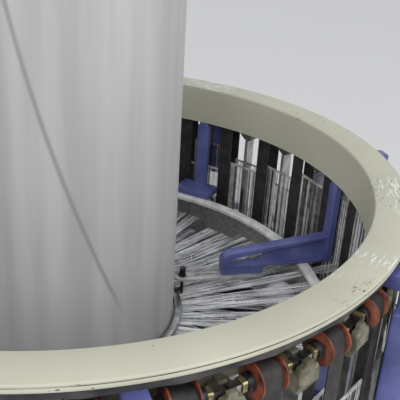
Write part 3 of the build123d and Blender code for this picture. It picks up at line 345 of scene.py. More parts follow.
def along_ring(finish):
    """Coordinates that run along the ring, outward and up, in metres at the arc's radius."""
    place = node(finish, "ShaderNodeTexCoord")
    parts = node(finish, "ShaderNodeSeparateXYZ")
    angle = node(finish, "ShaderNodeMath", operation="ARCTAN2")
    arc = node(finish, "ShaderNodeMath", operation="MULTIPLY")
    arc.inputs[1].default_value = arc_radius
    flat = node(finish, "ShaderNodeVectorMath", operation="MULTIPLY")
    flat.inputs[1].default_value = (1, 1, 0)
    radius = node(finish, "ShaderNodeVectorMath", operation="LENGTH")
    made = node(finish, "ShaderNodeCombineXYZ")
    link = finish.node_tree.links.new
    link(place.outputs["Object"], parts.inputs[0])
    link(parts.outputs["Y"], angle.inputs[0])
    link(parts.outputs["X"], angle.inputs[1])
    link(angle.outputs[0], arc.inputs[0])
    link(place.outputs["Object"], flat.inputs[0])
    link(flat.outputs[0], radius.inputs[0])
    link(arc.outputs[0], made.inputs["X"])
    link(radius.outputs["Value"], made.inputs["Y"])
    link(parts.outputs["Z"], made.inputs["Z"])
    return made


# Places along the ring where hands rub it, and how far and how strongly the marks gather there;
# then the heights from which the marks lie, on the flat top and on the rim, and how soft they end.
hand_worn = (-0.72, -0.29, 1.42, -2.05)
worn_core = 0.02
worn_reach = 0.16
worn_gain = 0.14
flat_top_from = 1.0785
rim_from = 1.0640
grain_edge = 0.025
patch_edge = 0.05
height_edge = 0.001


def marks(finish, under, coordinates, stretch, scale, share, patch_scale, patch_share, offset, above):
    """Marks of one colour over the finish so far: grains inside larger patches, above one height.
    The patches gather at the places along the ring where hands rub it."""
    link = finish.node_tree.links.new
    shader = finish.node_tree.nodes["Principled BSDF"]
    so_far = shader.inputs["Base Color"].links[0].from_socket
    mapping = node(finish, "ShaderNodeMapping", Scale=stretch, Location=(offset, offset, 0))
    grains = node(finish, "ShaderNodeTexNoise", Scale=scale, Detail=2.0)
    patches = node(finish, "ShaderNodeTexNoise", Scale=patch_scale, Detail=2.0)
    parts = node(finish, "ShaderNodeSeparateXYZ")
    link(coordinates.outputs[0], mapping.inputs["Vector"])
    link(mapping.outputs[0], grains.inputs["Vector"])
    link(coordinates.outputs[0], patches.inputs["Vector"])
    link(coordinates.outputs[0], parts.inputs[0])
    gathered = patches.outputs["Fac"]
    for place in hand_worn:
        away = node(finish, "ShaderNodeMath", operation="SUBTRACT")
        away.inputs[1].default_value = place
        aside = node(finish, "ShaderNodeMath", operation="ABSOLUTE")
        rise = node(finish, "ShaderNodeMapRange")
        rise.inputs["From Min"].default_value = worn_core
        rise.inputs["From Max"].default_value = worn_reach
        rise.inputs["To Min"].default_value = worn_gain
        rise.inputs["To Max"].default_value = 0.0
        summed = node(finish, "ShaderNodeMath", operation="ADD")
        link(parts.outputs["X"], away.inputs[0])
        link(away.outputs[0], aside.inputs[0])
        link(aside.outputs[0], rise.inputs["Value"])
        link(gathered, summed.inputs[0])
        link(rise.outputs["Result"], summed.inputs[1])
        gathered = summed.outputs[0]
    so_much = None
    for source, low, high in (
        (grains.outputs["Fac"], 1 - share, 1 - share + grain_edge),
        (gathered, 1 - patch_share, 1 - patch_share + patch_edge),
        (parts.outputs["Z"], above - height_edge, above + height_edge),
    ):
        step = node(finish, "ShaderNodeMapRange")
        step.inputs["From Min"].default_value = low
        step.inputs["From Max"].default_value = high
        link(source, step.inputs["Value"])
        if so_much:
            both = node(finish, "ShaderNodeMath", operation="MULTIPLY")
            link(so_much, both.inputs[0])
            link(step.outputs["Result"], both.inputs[1])
            so_much = both.outputs[0]
        else:
            so_much = step.outputs["Result"]
    mixed = node(finish, "ShaderNodeMix", data_type="RGBA")
    mixed.inputs[mix_second].default_value = (*under, 1)
    link(so_much, mixed.inputs["Factor"])
    link(so_far, mixed.inputs[mix_first])
    link(mixed.outputs[mix_result], shader.inputs["Base Color"])


ring_place = along_ring(cream_enamel)
marks(cream_enamel, (0.74, 0.74, 0.68), ring_place, (1, 7, 1), 34, 0.43, 3.5, 0.40, 3.1, flat_top_from)
marks(cream_enamel, (0.30, 0.28, 0.21), ring_place, (1, 7, 1), 44, 0.37, 4.0, 0.41, 1.7, flat_top_from)
marks(cream_enamel, (0.07, 0.06, 0.045), ring_place, (1, 2.2, 2.2), 75, 0.33, 6, 0.44, 0.0, rim_from)
cover = turned("cream_cover", [
    (0.7000, 0.9700), (0.7000, 1.0735), (0.7005, 1.0765), (0.7018, 1.0787), (0.7040, 1.0800),
    (0.7742, 1.0800), (0.7758, 1.0795), (0.7767, 1.0784), (0.7770, 1.0770), (0.7770, 1.0752),
    (0.7764, 1.0744), (0.7752, 1.0742), (0.7752, 1.0728), (0.7763, 1.0726), (0.7768, 1.0718),
    (0.7768, 1.0664), (0.7763, 1.0649), (0.7748, 1.0640), (0.7722, 1.0640), (0.7715, 1.0648),
    (0.7715, 1.0735), (0.7710, 1.0740), (0.7055, 1.0740), (0.7050, 1.0735), (0.7050, 0.9703),
    (0.7047, 0.9700),
], cream_enamel, 360, angle=50)
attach(cover, "frame")
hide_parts("cover_ring")

# A dark ring set in the step under the rim: painted shade of the step, with the dirt that gathers in it.
seam_shade_and_grime = plain_finish("seam_shade_and_grime", (0.06, 0.05, 0.04), 0.7)
vary(seam_shade_and_grime, (0.035, 0.030, 0.022), (0.34, 0.32, 0.25), 9, at=(0.42, 0.62))
roughen(seam_shade_and_grime, 600, 0.5, 0.8, 0.3)
seam = turned("rim_seam", [
    (0.7745, 1.0727), (0.7765, 1.0727), (0.7765, 1.0745), (0.7745, 1.0745),
], seam_shade_and_grime, 360)
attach(seam, "frame")

# Reed: an upper and a lower steel ring, painted white and worn grey in places, with flat steel
# dents between them. Posts under the top ring carry the upper one, and arms from the columns
# carry the lower one.
white_enamel = plain_finish("white_enamel", (0.78, 0.78, 0.75), 0.4)
vary(white_enamel, (0.62, 0.62, 0.60), (0.88, 0.88, 0.85), 30)
roughen(white_enamel, 400, 0.3, 0.55, 0.12)
upper_reed = turned("upper_reed", [
    (0.6235, 0.7260), (0.6220, 0.7275), (0.6220, 0.7370), (0.6230, 0.7392), (0.6250, 0.7400),
    (0.6470, 0.7400), (0.6490, 0.7392), (0.6500, 0.7370), (0.6500, 0.7275), (0.6485, 0.7260),
], white_enamel, 288, angle=50)
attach(upper_reed, "frame")
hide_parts("upper_reed_ring")
dress(white_enamel, "lower_reed_ring")
units = 32
unit_step = 360 / units
tapes_in_side = 11
dents_in_side = 17
fell_radius = 0.2652
fell_height = 0.676
inner_eye = 0.7306
outer_eye = 0.7684
strip_at_fell = (0.0008, 0.0254)
strip_at_eye = (0.0070, 0.0515)
dent_half = 0.00025
dent_inside = 0.626
dent_outside = 0.646
dent_top = 0.7262
dent_foot_drop = 0.0010
dent_edge_gap = 0.0008
lowest_eye = 0.563


def about(angle):
    """A turn of this many degrees round the loom's axis."""
    return Matrix.Rotation(radians(angle), 4, "Z")


def tape_across(share, x):
    """How far from its unit's middle a tape lies at this distance from the loom's axis."""
    inward = min(1.0, max(0.0, (inner_eye - x) / (inner_eye - fell_radius)))
    near, far = (eye + (fell - eye) * inward for eye, fell in zip(strip_at_eye, strip_at_fell))
    return near + (far - near) * share


points = []
faces = []
for unit in range(units):
    turn = about(unit_step * unit)
    for side in (-1, 1):
        for k in range(dents_in_side + 1):
            start = len(points)
            for x in (dent_inside, dent_outside):
                share = k / tapes_in_side
                y = side * min(tape_across(share, x), x * sin(radians(180 / units)) - dent_edge_gap)
                drop = (lowest_eye - fell_height) * (x - fell_radius) / (inner_eye - fell_radius)
                rail = fell_height + drop - dent_foot_drop
                for across in (y - dent_half, y + dent_half):
                    points.append(tuple(turn @ Vector((x, across, rail))))
                    points.append(tuple(turn @ Vector((x, across, dent_top))))
            for a, b, c, d in ((0, 2, 3, 1), (4, 5, 7, 6), (0, 1, 5, 4), (2, 6, 7, 3)):
                faces.append((start + a, start + b, start + c, start + d))
dent_steel = plain_finish("dent_steel", (0.52, 0.52, 0.50), 0.4, 0.3)
vary(dent_steel, (0.34, 0.34, 0.33), (0.62, 0.62, 0.60), 120)
roughen(dent_steel, 600, 0.3, 0.5, 0.1)
reed = mesh_piece("reed_of_fine_dents", points, faces, dent_steel, 0)
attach(reed, "frame")
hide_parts("reed_dents")
eased("ring_brackets", "lower_reed_arms", 0.002, blue_enamel)
eased("reed_posts", "reed_ring_posts", 0.004, blue_enamel, segments=3)

# Ring arms and weaving ring: two L-shaped iron castings, blue like the posts, hold slotted steel
# plates. A blackened pin in each plate holds the polished steel ring down round the cloth's foot.
eased("cast_arms", "ring_arms", 0.0035, blue_enamel, segments=3)
plate_steel = plain_finish("plate_steel", (0.46, 0.46, 0.45), 0.38, 0.35)
vary(plate_steel, (0.36, 0.36, 0.35), (0.54, 0.54, 0.53), 40)
roughen(plate_steel, 500, 0.3, 0.5, 0.1)
eased("slotted_plates", "arm_plates", 0.0006, plate_steel)
black_steel = plain_finish("black_steel", (0.02, 0.02, 0.022), 0.4, 0.6)
vary(black_steel, (0.012, 0.012, 0.014), (0.05, 0.05, 0.05), 60)
roughen(black_steel, 900, 0.3, 0.5, 0.1)
eased("hook_pins", "arm_pins", 0.0008, black_steel)
weaving = turned("polished_weaving_ring", [
    (0.2715, 0.6810), (0.2690, 0.6835), (0.2690, 0.6890), (0.2705, 0.6906), (0.2735, 0.6910),
    (0.2850, 0.6910), (0.2875, 0.6902), (0.2880, 0.6880), (0.2880, 0.6830), (0.2865, 0.6810),
], ground_steel, 192, angle=50)
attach(weaving, "frame")
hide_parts("weaving_ring")

# Guide bars and roller brackets: flat bright steel bars stand on the bed ring, between the two
# heald frames of each unit. The cast brackets on them, greasy with oil, hold the roller shafts.
dress(ground_steel, "guide_bars")
oiled_casting = plain_finish("oiled_casting", (0.175, 0.164, 0.112), 0.5, 0.1)
bracket_tone = vary(oiled_casting, (0.084, 0.077, 0.047), (0.280, 0.266, 0.194), 26)
roughen(oiled_casting, 420, 0.35, 0.65, 0.4)
chip(oiled_casting, bracket_tone, (0.05, 0.04, 0.028), 60, 0.36)


def bracket_shell(points, faces, matrix, levels):
    """A casting between stacked rectangles, each (height, inner x, outer x, half width)."""
    start = len(points)
    for z, x_in, x_out, half_width in levels:
        for x, y in ((x_in, -half_width), (x_out, -half_width), (x_out, half_width), (x_in, half_width)):
            points.append(tuple(matrix @ Vector((x, y, z))))
    last = start + 4 * (len(levels) - 1)
    faces.append((start + 3, start + 2, start + 1, start))
    faces.append((last, last + 1, last + 2, last + 3))
    for row in range(len(levels) - 1):
        a = start + 4 * row
        for i in range(4):
            j = (i + 1) % 4
            faces.append((a + i, a + j, a + 4 + j, a + 4 + i))


bracket_body = [
    (0.936, 0.736, 0.766, 0.0105), (0.952, 0.7285, 0.7740, 0.0200),
    (0.966, 0.7212, 0.7808, 0.0232), (0.986, 0.7230, 0.7790, 0.0236),
]
bracket_outer_wall = [
    (0.986, 0.7650, 0.7790, 0.0236), (0.9965, 0.7650, 0.7780, 0.0195), (0.9985, 0.7650, 0.7776, 0.0090),
    (1.0078, 0.7650, 0.7768, 0.0082),
]
bracket_inner_wall = [
    (0.986, 0.7230, 0.7442, 0.0236), (0.9965, 0.7238, 0.7442, 0.0195), (0.9985, 0.7242, 0.7442, 0.0090),
    (1.0078, 0.7250, 0.7442, 0.0082),
]
points = []
faces = []
for unit in range(units):
    for levels in (bracket_body, bracket_outer_wall, bracket_inner_wall):
        bracket_shell(points, faces, about(unit_step * unit), levels)
brackets = mesh_piece("cast_brackets", points, faces, oiled_casting)
ease_edges(brackets, 0.0020, 2)
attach(brackets, "frame")
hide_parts("roller_brackets")

# Heald rollers: moulded red spools with two flanges, dark bushes and square brass nuts.
# The lower ones are plain rollers of dark cast iron; every belt runs round one of each.
roller_red = plain_finish("roller_red", (0.186, 0.043, 0.020), 0.4)
vary(roller_red, (0.058, 0.014, 0.010), (0.267, 0.072, 0.032), 45)
roughen(roller_red, 500, 0.28, 0.5, 0.15)
worn_brass = plain_finish("worn_brass", (0.42, 0.36, 0.17), 0.4, 0.8)
vary(worn_brass, (0.22, 0.18, 0.08), (0.55, 0.48, 0.26), 90)
roughen(worn_brass, 600, 0.3, 0.55, 0.2)
roller_circle = 0.751
upper_roller_height = 0.995
lower_roller_height = 0.320


def many_prisms(name, outline, low, high, finish, places, angle=30):
    """Copies of one flat outline, given depth and laid by each matrix, as one piece."""
    points = []
    faces = []
    size = len(outline)
    for matrix in places:
        start = len(points)
        points += [tuple(matrix @ Vector((x, y, low))) for x, y in outline]
        points += [tuple(matrix @ Vector((x, y, high))) for x, y in outline]
        faces.append(tuple(start + i for i in reversed(range(size))))
        faces.append(tuple(start + size + i for i in range(size)))
        for i in range(size):
            j = (i + 1) % size
            faces.append((start + i, start + j, start + size + j, start + size + i))
    return mesh_piece(name, points, faces, finish, angle)


laid_along_y = Matrix.Rotation(radians(-90), 4, "X")
unit_gaps = [about(unit_step * (i + 0.5)) for i in range(units)]
raised_upper = Matrix.Translation((roller_circle, 0, upper_roller_height))
raised_lower = Matrix.Translation((roller_circle, 0, lower_roller_height))
upper_rollers = [turn @ raised_upper @ laid_along_y for turn in unit_gaps]
lower_rollers = [turn @ raised_lower @ laid_along_y for turn in unit_gaps]
spool = many_turned("red_spools", [
    (0.0090, -0.0274), (0.0255, -0.0274), (0.0275, -0.0262), (0.0305, -0.0262), (0.0325, -0.0255),
    (0.0330, -0.0240), (0.0325, -0.0222), (0.0300, -0.0214), (0.0218, -0.0214), (0.0218, 0.0214),
    (0.0300, 0.0214), (0.0325, 0.0222), (0.0330, 0.0240), (0.0325, 0.0255), (0.0305, 0.0262),
    (0.0275, 0.0262), (0.0255, 0.0274), (0.0090, 0.0274),
], roller_red, upper_rollers, 36, 40)
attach(spool, "frame")
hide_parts("belt_rollers")
bushes = many_turned("roller_bushes", [
    (0.0085, -0.0395), (0.0150, -0.0395), (0.0160, -0.0385), (0.0172, -0.0272), (0.0085, -0.0272),
], black_steel, upper_rollers, 24)
bushes_far = many_turned("roller_bushes_far", [
    (0.0085, 0.0272), (0.0172, 0.0272), (0.0160, 0.0385), (0.0150, 0.0395), (0.0085, 0.0395),
], black_steel, upper_rollers, 24)
for bush in (bushes, bushes_far):
    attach(bush, "frame")
nut_half = 0.0105
nut_corner = 0.0022
nut_flat = nut_half - nut_corner
nut_outline = [
    (nut_half, nut_flat), (nut_flat, nut_half), (-nut_flat, nut_half), (-nut_half, nut_flat),
    (-nut_half, -nut_flat), (-nut_flat, -nut_half), (nut_flat, -nut_half), (nut_half, -nut_flat),
]
for name, low, high in (("brass_nuts", 0.0395, 0.0490), ("brass_nuts_far", -0.0490, -0.0395)):
    nuts = many_prisms(name, nut_outline, low, high, worn_brass, upper_rollers)
    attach(nuts, "frame")
shaft_half = 0.008
shaft_outline = [
    (shaft_half, -shaft_half), (shaft_half, shaft_half),
    (-shaft_half, shaft_half), (-shaft_half, -shaft_half),
]
for name, low, high in (("roller_shafts", 0.027, 0.0715), ("roller_shafts_far", -0.0715, -0.027)):
    shafts = many_prisms(name, shaft_outline, low, high, ground_steel, upper_rollers)
    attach(shafts, "frame")
plain_rollers = many_turned("lower_rollers", [
    (0.0060, -0.0662), (0.0150, -0.0662), (0.0165, -0.0650), (0.0165, -0.0240), (0.0220, -0.0240),
    (0.0220, 0.0240), (0.0165, 0.0240), (0.0165, 0.0650), (0.0150, 0.0662), (0.0060, 0.0662),
], dark_casting, lower_rollers, 32)
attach(plain_rollers, "frame")

# Heald belts: endless rubberised belts, dark with oil, each round an upper and a lower roller.
# The inner run carries inner heald frames, and the outer run carries outer ones.
belt_inside = 0.0224
belt_outside = 0.0247
belt_half_width = 0.021
belt_turns = 14


def belt_line(radius, top, bottom):
    """The closed (x, z) line of a belt round both rollers."""
    angles = [pi * i / belt_turns for i in range(belt_turns + 1)]
    over_top = [(radius * cos(angle), top + radius * sin(angle)) for angle in angles]
    under_bottom = [(-radius * cos(angle), bottom - radius * sin(angle)) for angle in angles]
    return over_top + under_bottom


def many_belts(name, inner, outer, half_width, finish, places):
    """Copies of one belt between its inner and outer line, as one piece."""
    points = []
    faces = []
    size = len(inner)
    for matrix in places:
        start = len(points)
        for line in (inner, outer):
            for side in (-half_width, half_width):
                points += [tuple(matrix @ Vector((x, side, z))) for x, z in line]
        inside_low, inside_high, outside_low, outside_high = (start + k * size for k in range(4))
        for i in range(size):
            j = (i + 1) % size
            faces.append((inside_low + i, inside_high + i, inside_high + j, inside_low + j))
            faces.append((outside_low + j, outside_high + j, outside_high + i, outside_low + i))
            faces.append((inside_low + j, outside_low + j, outside_low + i, inside_low + i))
            faces.append((inside_high + i, outside_high + i, outside_high + j, inside_high + j))
    return mesh_piece(name, points, faces, finish, 40)


belts = many_belts(
    "heald_belt_loops",
    belt_line(belt_inside, upper_roller_height, lower_roller_height),
    belt_line(belt_outside, upper_roller_height, lower_roller_height),
    belt_half_width, belt_rubber,
    [turn @ Matrix.Translation((roller_circle, 0, 0)) for turn in unit_gaps],
)
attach(belts, "frame")
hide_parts("heald_belts")

# Heald frames: light steel frames, each with its row of wires; every wire has an eye for one tape.
# The wires are steel coated white, each drawn white, grey or near black at random, and stand between the
# frame's bars.
wire_white = plain_finish("wire_white", (0.80, 0.80, 0.79), 0.35)
vary(wire_white, (0.58, 0.58, 0.57), (0.92, 0.92, 0.91), 60)
roughen(wire_white, 500, 0.3, 0.5, 0.1)
wire_grey = plain_finish("wire_grey", (0.30, 0.30, 0.30), 0.45)
vary(wire_grey, (0.14, 0.14, 0.14), (0.44, 0.44, 0.43), 60)
roughen(wire_grey, 500, 0.35, 0.55, 0.1)
wire_near_black = plain_finish("wire_near_black", (0.07, 0.07, 0.07), 0.5)
vary(wire_near_black, (0.03, 0.03, 0.03), (0.14, 0.13, 0.12), 60)
roughen(wire_near_black, 500, 0.35, 0.6, 0.1)
wire_tones = (wire_white, wire_grey, wire_near_black)
tone_draw = (0, 0, 1, 2, 2)
random.seed(7)
frame_grey = plain_finish("frame_grey", (0.50, 0.50, 0.48), 0.42)
vary(frame_grey, (0.26, 0.25, 0.23), (0.60, 0.60, 0.57), 38)
roughen(frame_grey, 500, 0.32, 0.55, 0.15)
frame_window = 0.195
eye_travel = 0.085
eye_middle = 0.648
shed_start = -11.25
groups = 8
units_in_group = 4
wire_half = 0.0007
wire_end_gap = 0.007
faces_in_wire = 24
eye_bar_shift = 0.0012
eye_bar_reach = 0.0075
eye_bar_half_x = 0.0008
eye_bar_half_y = 0.0004


def shed_lift(angle):
    """How far above its middle height the cam's wave holds the inner frame at this angle."""
    return eye_travel * cos(radians(2 * (angle - shed_start)))


def tape_share(k, inner):
    """Where tape k lies in its strip; the tapes of inner and outer frames take turns."""
    return (k + (0.25 if inner else 0.75)) / tapes_in_side


def thin_bar(points, faces, matrix, start, end, half_x, half_y):
    """A straight bar of small rectangular section between two points of a unit."""
    base = len(points)
    for x, y, z in (start, end):
        for side_x, side_y in ((-half_x, -half_y), (half_x, -half_y), (half_x, half_y), (-half_x, half_y)):
            points.append(tuple(matrix @ Vector((x + side_x, y + side_y, z))))
    for i in range(4):
        j = (i + 1) % 4
        faces.append((base + i, base + j, base + 4 + j, base + 4 + i))
    faces.append((base + 3, base + 2, base + 1, base))
    faces.append((base + 4, base + 5, base + 6, base + 7))


def frame_of(unit, inner):
    """Which heald node carries this unit's inner or outer frame."""
    group = unit % groups + 1
    first_half = (unit // groups) % 2 == 0
    return ("healds_a" if first_half == inner else "healds_b") + str(group)


for letter in "ab":
    for group in range(1, groups + 1):
        body = f"healds_{letter}{group}"
        dress(frame_grey, body)
        points = []
        faces = []
        tones = []
        for quarter in range(units_in_group):
            unit = group - 1 + groups * quarter
            angle = unit_step * unit
            inner = frame_of(unit, True) == body
            x = inner_eye if inner else outer_eye
            eye = eye_middle + (shed_lift(angle) if inner else -shed_lift(angle))
            turn = about(angle)
            for side in (-1, 1):
                for k in range(tapes_in_side):
                    y = side * tape_across(tape_share(k, inner), x)
                    tones += [random.choice(tone_draw)] * faces_in_wire
                    for low, high in ((-frame_window, -wire_end_gap), (wire_end_gap, frame_window)):
                        low_end = (x, y, eye + low)
                        high_end = (x, y, eye + high)
                        thin_bar(points, faces, turn, low_end, high_end, wire_half, wire_half)
                    for shift in (-eye_bar_shift, eye_bar_shift):
                        low_end = (x, y + shift, eye - eye_bar_reach)
                        high_end = (x, y + shift, eye + eye_bar_reach)
                        thin_bar(points, faces, turn, low_end, high_end, eye_bar_half_x, eye_bar_half_y)
        wires = mesh_piece(f"wires_{letter}{group}", points, faces, wire_white, 0)
        for finish in wire_tones[1:]:
            wires.data.materials.append(finish)
        for face, tone in zip(wires.data.polygons, tones):
            face.material_index = tone
        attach(wires, body)

# Warp inlet ring: a bright chromed steel tube that every tape bends over.
# Blue brackets hold it to the columns.
chromed = plain_finish("chromed", (0.72, 0.72, 0.72), 0.14, 1.0)
vary(chromed, (0.60, 0.60, 0.60), (0.78, 0.78, 0.78), 18)
roughen(chromed, 300, 0.08, 0.24, 0.03)
inlet_radius = 0.880
inlet_tube = 0.0155
inlet_sides = 20
solid_ring_top = 0.642
solid_ring_tube = 0.016
inlet_centre = solid_ring_top - solid_ring_tube * cos(radians(22.5))
inlet_angles = [2 * pi * i / inlet_sides for i in range(inlet_sides)]
inlet = turned("chromed_inlet_ring", [
    (inlet_radius + inlet_tube * cos(angle), inlet_centre + inlet_tube * sin(angle)) for angle in inlet_angles
], chromed, 240, angle=40)
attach(inlet, "frame")
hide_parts("inlet_ring")
eased("inlet_brackets", "inlet_ring_brackets", 0.001, blue_enamel)

# Warp: flat slit tapes of white polymer, from the inlet ring through heald eyes and reed to the fell.
# The half before the heald and the half after it both run through the eye of that heald, where it stands.
tape_white = plain_finish("tape_white", (0.74, 0.75, 0.76), 0.28)
vary(tape_white, (0.62, 0.63, 0.65), (0.82, 0.82, 0.82), 25, stretch=(1, 1, 4))
roughen(tape_white, 700, 0.2, 0.4, 0.15)
tape_half = 0.0010
tape_thick_half = 0.00015
tape_end_half = 0.0007
widest_share = 0.7
end_share = 0.42
wander_share = 0.3
most_roll = 1.1
painted_light_change = 0.4
rest_height = 0.6428
bend_before_healds = 0.640
pieces_to_bend = 7
pieces_to_eye = 2
pieces_to_inlet = 3
# Lit and shaded copies of the white tape: one with a painted glint, one in painted shade, for tapes that roll
# and fold.
tape_painted_glint = plain_finish("tape_painted_glint", (0.92, 0.93, 0.94), 0.22)
vary(tape_painted_glint, (0.78, 0.79, 0.80), (0.98, 0.98, 0.98), 60)
roughen(tape_painted_glint, 700, 0.15, 0.35, 0.15)
tape_painted_shade = plain_finish("tape_painted_shade", (0.34, 0.35, 0.36), 0.4)
vary(tape_painted_shade, (0.22, 0.225, 0.23), (0.56, 0.57, 0.58), 45)
roughen(tape_painted_shade, 700, 0.3, 0.5, 0.2)
tape_painted_lights = (tape_white, tape_painted_glint, tape_painted_shade)


def tape_run(name, matrix, inner, stations):
    """A strip's tapes, flat ribbons that roll a little on their way along the (x, z) stations."""
    points = []
    faces = []
    lights = []
    last = len(stations) - 1
    for side in (-1, 1):
        for k in range(tapes_in_side):
            first = len(points)
            # Each tape starts plain, with a painted glint or in painted shade, and now and then changes along
            # its length.
            light = random.choice(tone_draw)
            for row, (x, z) in enumerate(stations):
                share = tape_share(k, inner)
                pitch = (tape_across(1, x) - tape_across(0, x)) / (2 * tapes_in_side)
                free = 0 < row < last
                wander = random.uniform(-wander_share, wander_share) * pitch if free else 0.0
                roll = random.uniform(-most_roll, most_roll) if free else 0.0
                if free:
                    spare = min(tape_half, pitch * widest_share)
                else:
                    spare = min(tape_end_half, pitch * end_share)
                y = side * tape_across(share, x) + wander
                for edge in (-spare, spare):
                    for level in (-tape_thick_half, tape_thick_half):
                        across = edge * cos(roll) - level * sin(roll)
                        lift = edge * sin(roll) + level * cos(roll)
                        points.append(tuple(matrix @ Vector((x, y + across, z + lift))))
            for row in range(last):
                a = first + 4 * row
                b = a + 4
                if random.random() < painted_light_change:
                    light = random.choice(tone_draw)
                for i, j in ((0, 2), (2, 3), (3, 1), (1, 0)):
                    faces.append((a + i, a + j, b + j, b + i))
                    lights.append(light)
    run = mesh_piece(name, points, faces, tape_white, 0)
    for finish in tape_painted_lights[1:]:
        run.data.materials.append(finish)
    for face, light in zip(run.data.polygons, lights):
        face.material_index = light
    return run


def between(start, end, pieces):
    """Stations from one (x, z) point towards another, without the last."""
    stations = []
    for i in range(pieces):
        x = start[0] + (end[0] - start[0]) * i / pieces
        z = start[1] + (end[1] - start[1]) * i / pieces
        stations.append((x, z))
    return stations


strip_nodes = {True: "warp_tapes_inner", False: "warp_tapes_outer"}
for inner in (True, False):
    for unit in range(units):
        angle = unit_step * unit
        turn = about(angle)
        eye = eye_middle + (shed_lift(angle) if inner else -shed_lift(angle))
        eye_x = inner_eye if inner else outer_eye
        label = f"{'inner' if inner else 'outer'}_{unit:02d}"
        fell = (fell_radius, fell_height)
        at_eye = (eye_x, eye)
        at_inlet = (inlet_radius, rest_height)
        bend_share = (bend_before_healds - fell_radius) / (inner_eye - fell_radius)
        bend = (bend_before_healds, fell_height + (eye - fell_height) * bend_share)
        inward = between(fell, bend, pieces_to_bend) + between(bend, at_eye, pieces_to_eye) + [at_eye]
        outward = between(at_eye, at_inlet, pieces_to_inlet) + [at_inlet]
        inside = tape_run(f"tapes_{label}_in", turn, inner, inward)
        outside = tape_run(f"tapes_{label}_out", turn, inner, outward)
        body = frame_of(unit, inner)
        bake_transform(inside)
        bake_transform(outside)
        for half_strip in (inside, outside):
            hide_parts(strip_nodes[inner])

# Shuttles: four steel carriers on small wheels, pushed round inside the reed by the spider.
# Each holds a bobbin wound with the same white tape as the warp.
bobbin_at = 0.560
bobbin_height = 0.658
shuttle_count = 4
shuttle_step = 90
winding_radius = 0.0418
winding_groove = 0.0006
winding_half = 0.085
winding_steps = 34
wound_tape = plain_finish("wound_tape", (0.70, 0.70, 0.69), 0.4)
vary(wound_tape, (0.58, 0.58, 0.58), (0.78, 0.78, 0.77), 40, stretch=(1, 1, 3))
roughen(wound_tape, 900, 0.3, 0.5, 0.4)
shuttle_paint = plain_finish("shuttle_paint", (0.30, 0.31, 0.33), 0.4, 0.6)
vary(shuttle_paint, (0.20, 0.20, 0.22), (0.40, 0.41, 0.42), 30)
roughen(shuttle_paint, 500, 0.3, 0.5, 0.15)
for number in range(1, shuttle_count + 1):
    eased(f"shuttle_body_{number}", f"shuttle_{number}", 0.0015, shuttle_paint, "rotor")
    turn = about(shed_start + shuttle_step * (number - 1))
    place = turn @ Matrix.Translation((bobbin_at, 0, bobbin_height)) @ laid_along_y
    winding = [(0.0087, -0.096), (0.0160, -0.096), (0.0160, -0.088), (0.0405, -0.088)]
    for i in range(winding_steps + 1):
        along = -winding_half + 2 * winding_half * i / winding_steps
        winding.append((winding_radius - winding_groove * (i % 2), along))
    winding += [(0.0405, 0.088), (0.0160, 0.088), (0.0160, 0.096), (0.0087, 0.096)]
    wound = many_turned(f"wound_bobbin_{number}", winding, wound_tape, [place], 48, 40)
    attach(wound, f"bobbin_{number}")
    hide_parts(f"bobbin_{number}")

# Cloth: the tube woven from the white tapes, drawn up from the fell and pressed flat in the nip.
# Soft lengthwise bands of painted shade, for folds the smooth tube lacks, and one slanting crease in painted
# shade run up it, and its weave is as fine as the tapes.
woven = plain_finish("woven_cloth", (0.45, 0.45, 0.435), 0.6)
woven.node_tree.nodes["Principled BSDF"].inputs["Sheen Weight"].default_value = 0.15
# Lengthwise bands of painted shade, where soft folds would be.
vary(woven, (0.40, 0.40, 0.385), (0.49, 0.49, 0.475), 4, detail=3.0, stretch=(5, 5, 0.3))
crease_curve = (0.5867, -2.5815, 0.4902)
crease_foot = 0.80
crease_fade = 0.09
pitch_at_scale_one = 0.314


def weave(finish, pitch, strength):
    """Plain weave of flat tapes: bands round the tube crossed by bands up it, at this pitch."""
    link = finish.node_tree.links.new
    round_tube = along_ring(finish)
    relief = None
    for direction in ("X", "Z"):
        bands = node(finish, "ShaderNodeTexWave", wave_type="BANDS", bands_direction=direction)
        bands.inputs["Scale"].default_value = pitch_at_scale_one / pitch
        bands.inputs["Distortion"].default_value = 0.4
        link(round_tube.outputs[0], bands.inputs["Vector"])
        bump = node(finish, "ShaderNodeBump", Strength=strength, Distance=0.0002)
        link(bands.outputs["Fac"], bump.inputs["Height"])
        if relief:
            link(relief.outputs["Normal"], bump.inputs["Normal"])
        relief = bump
    link(relief.outputs["Normal"], finish.node_tree.nodes["Principled BSDF"].inputs["Normal"])
    return round_tube


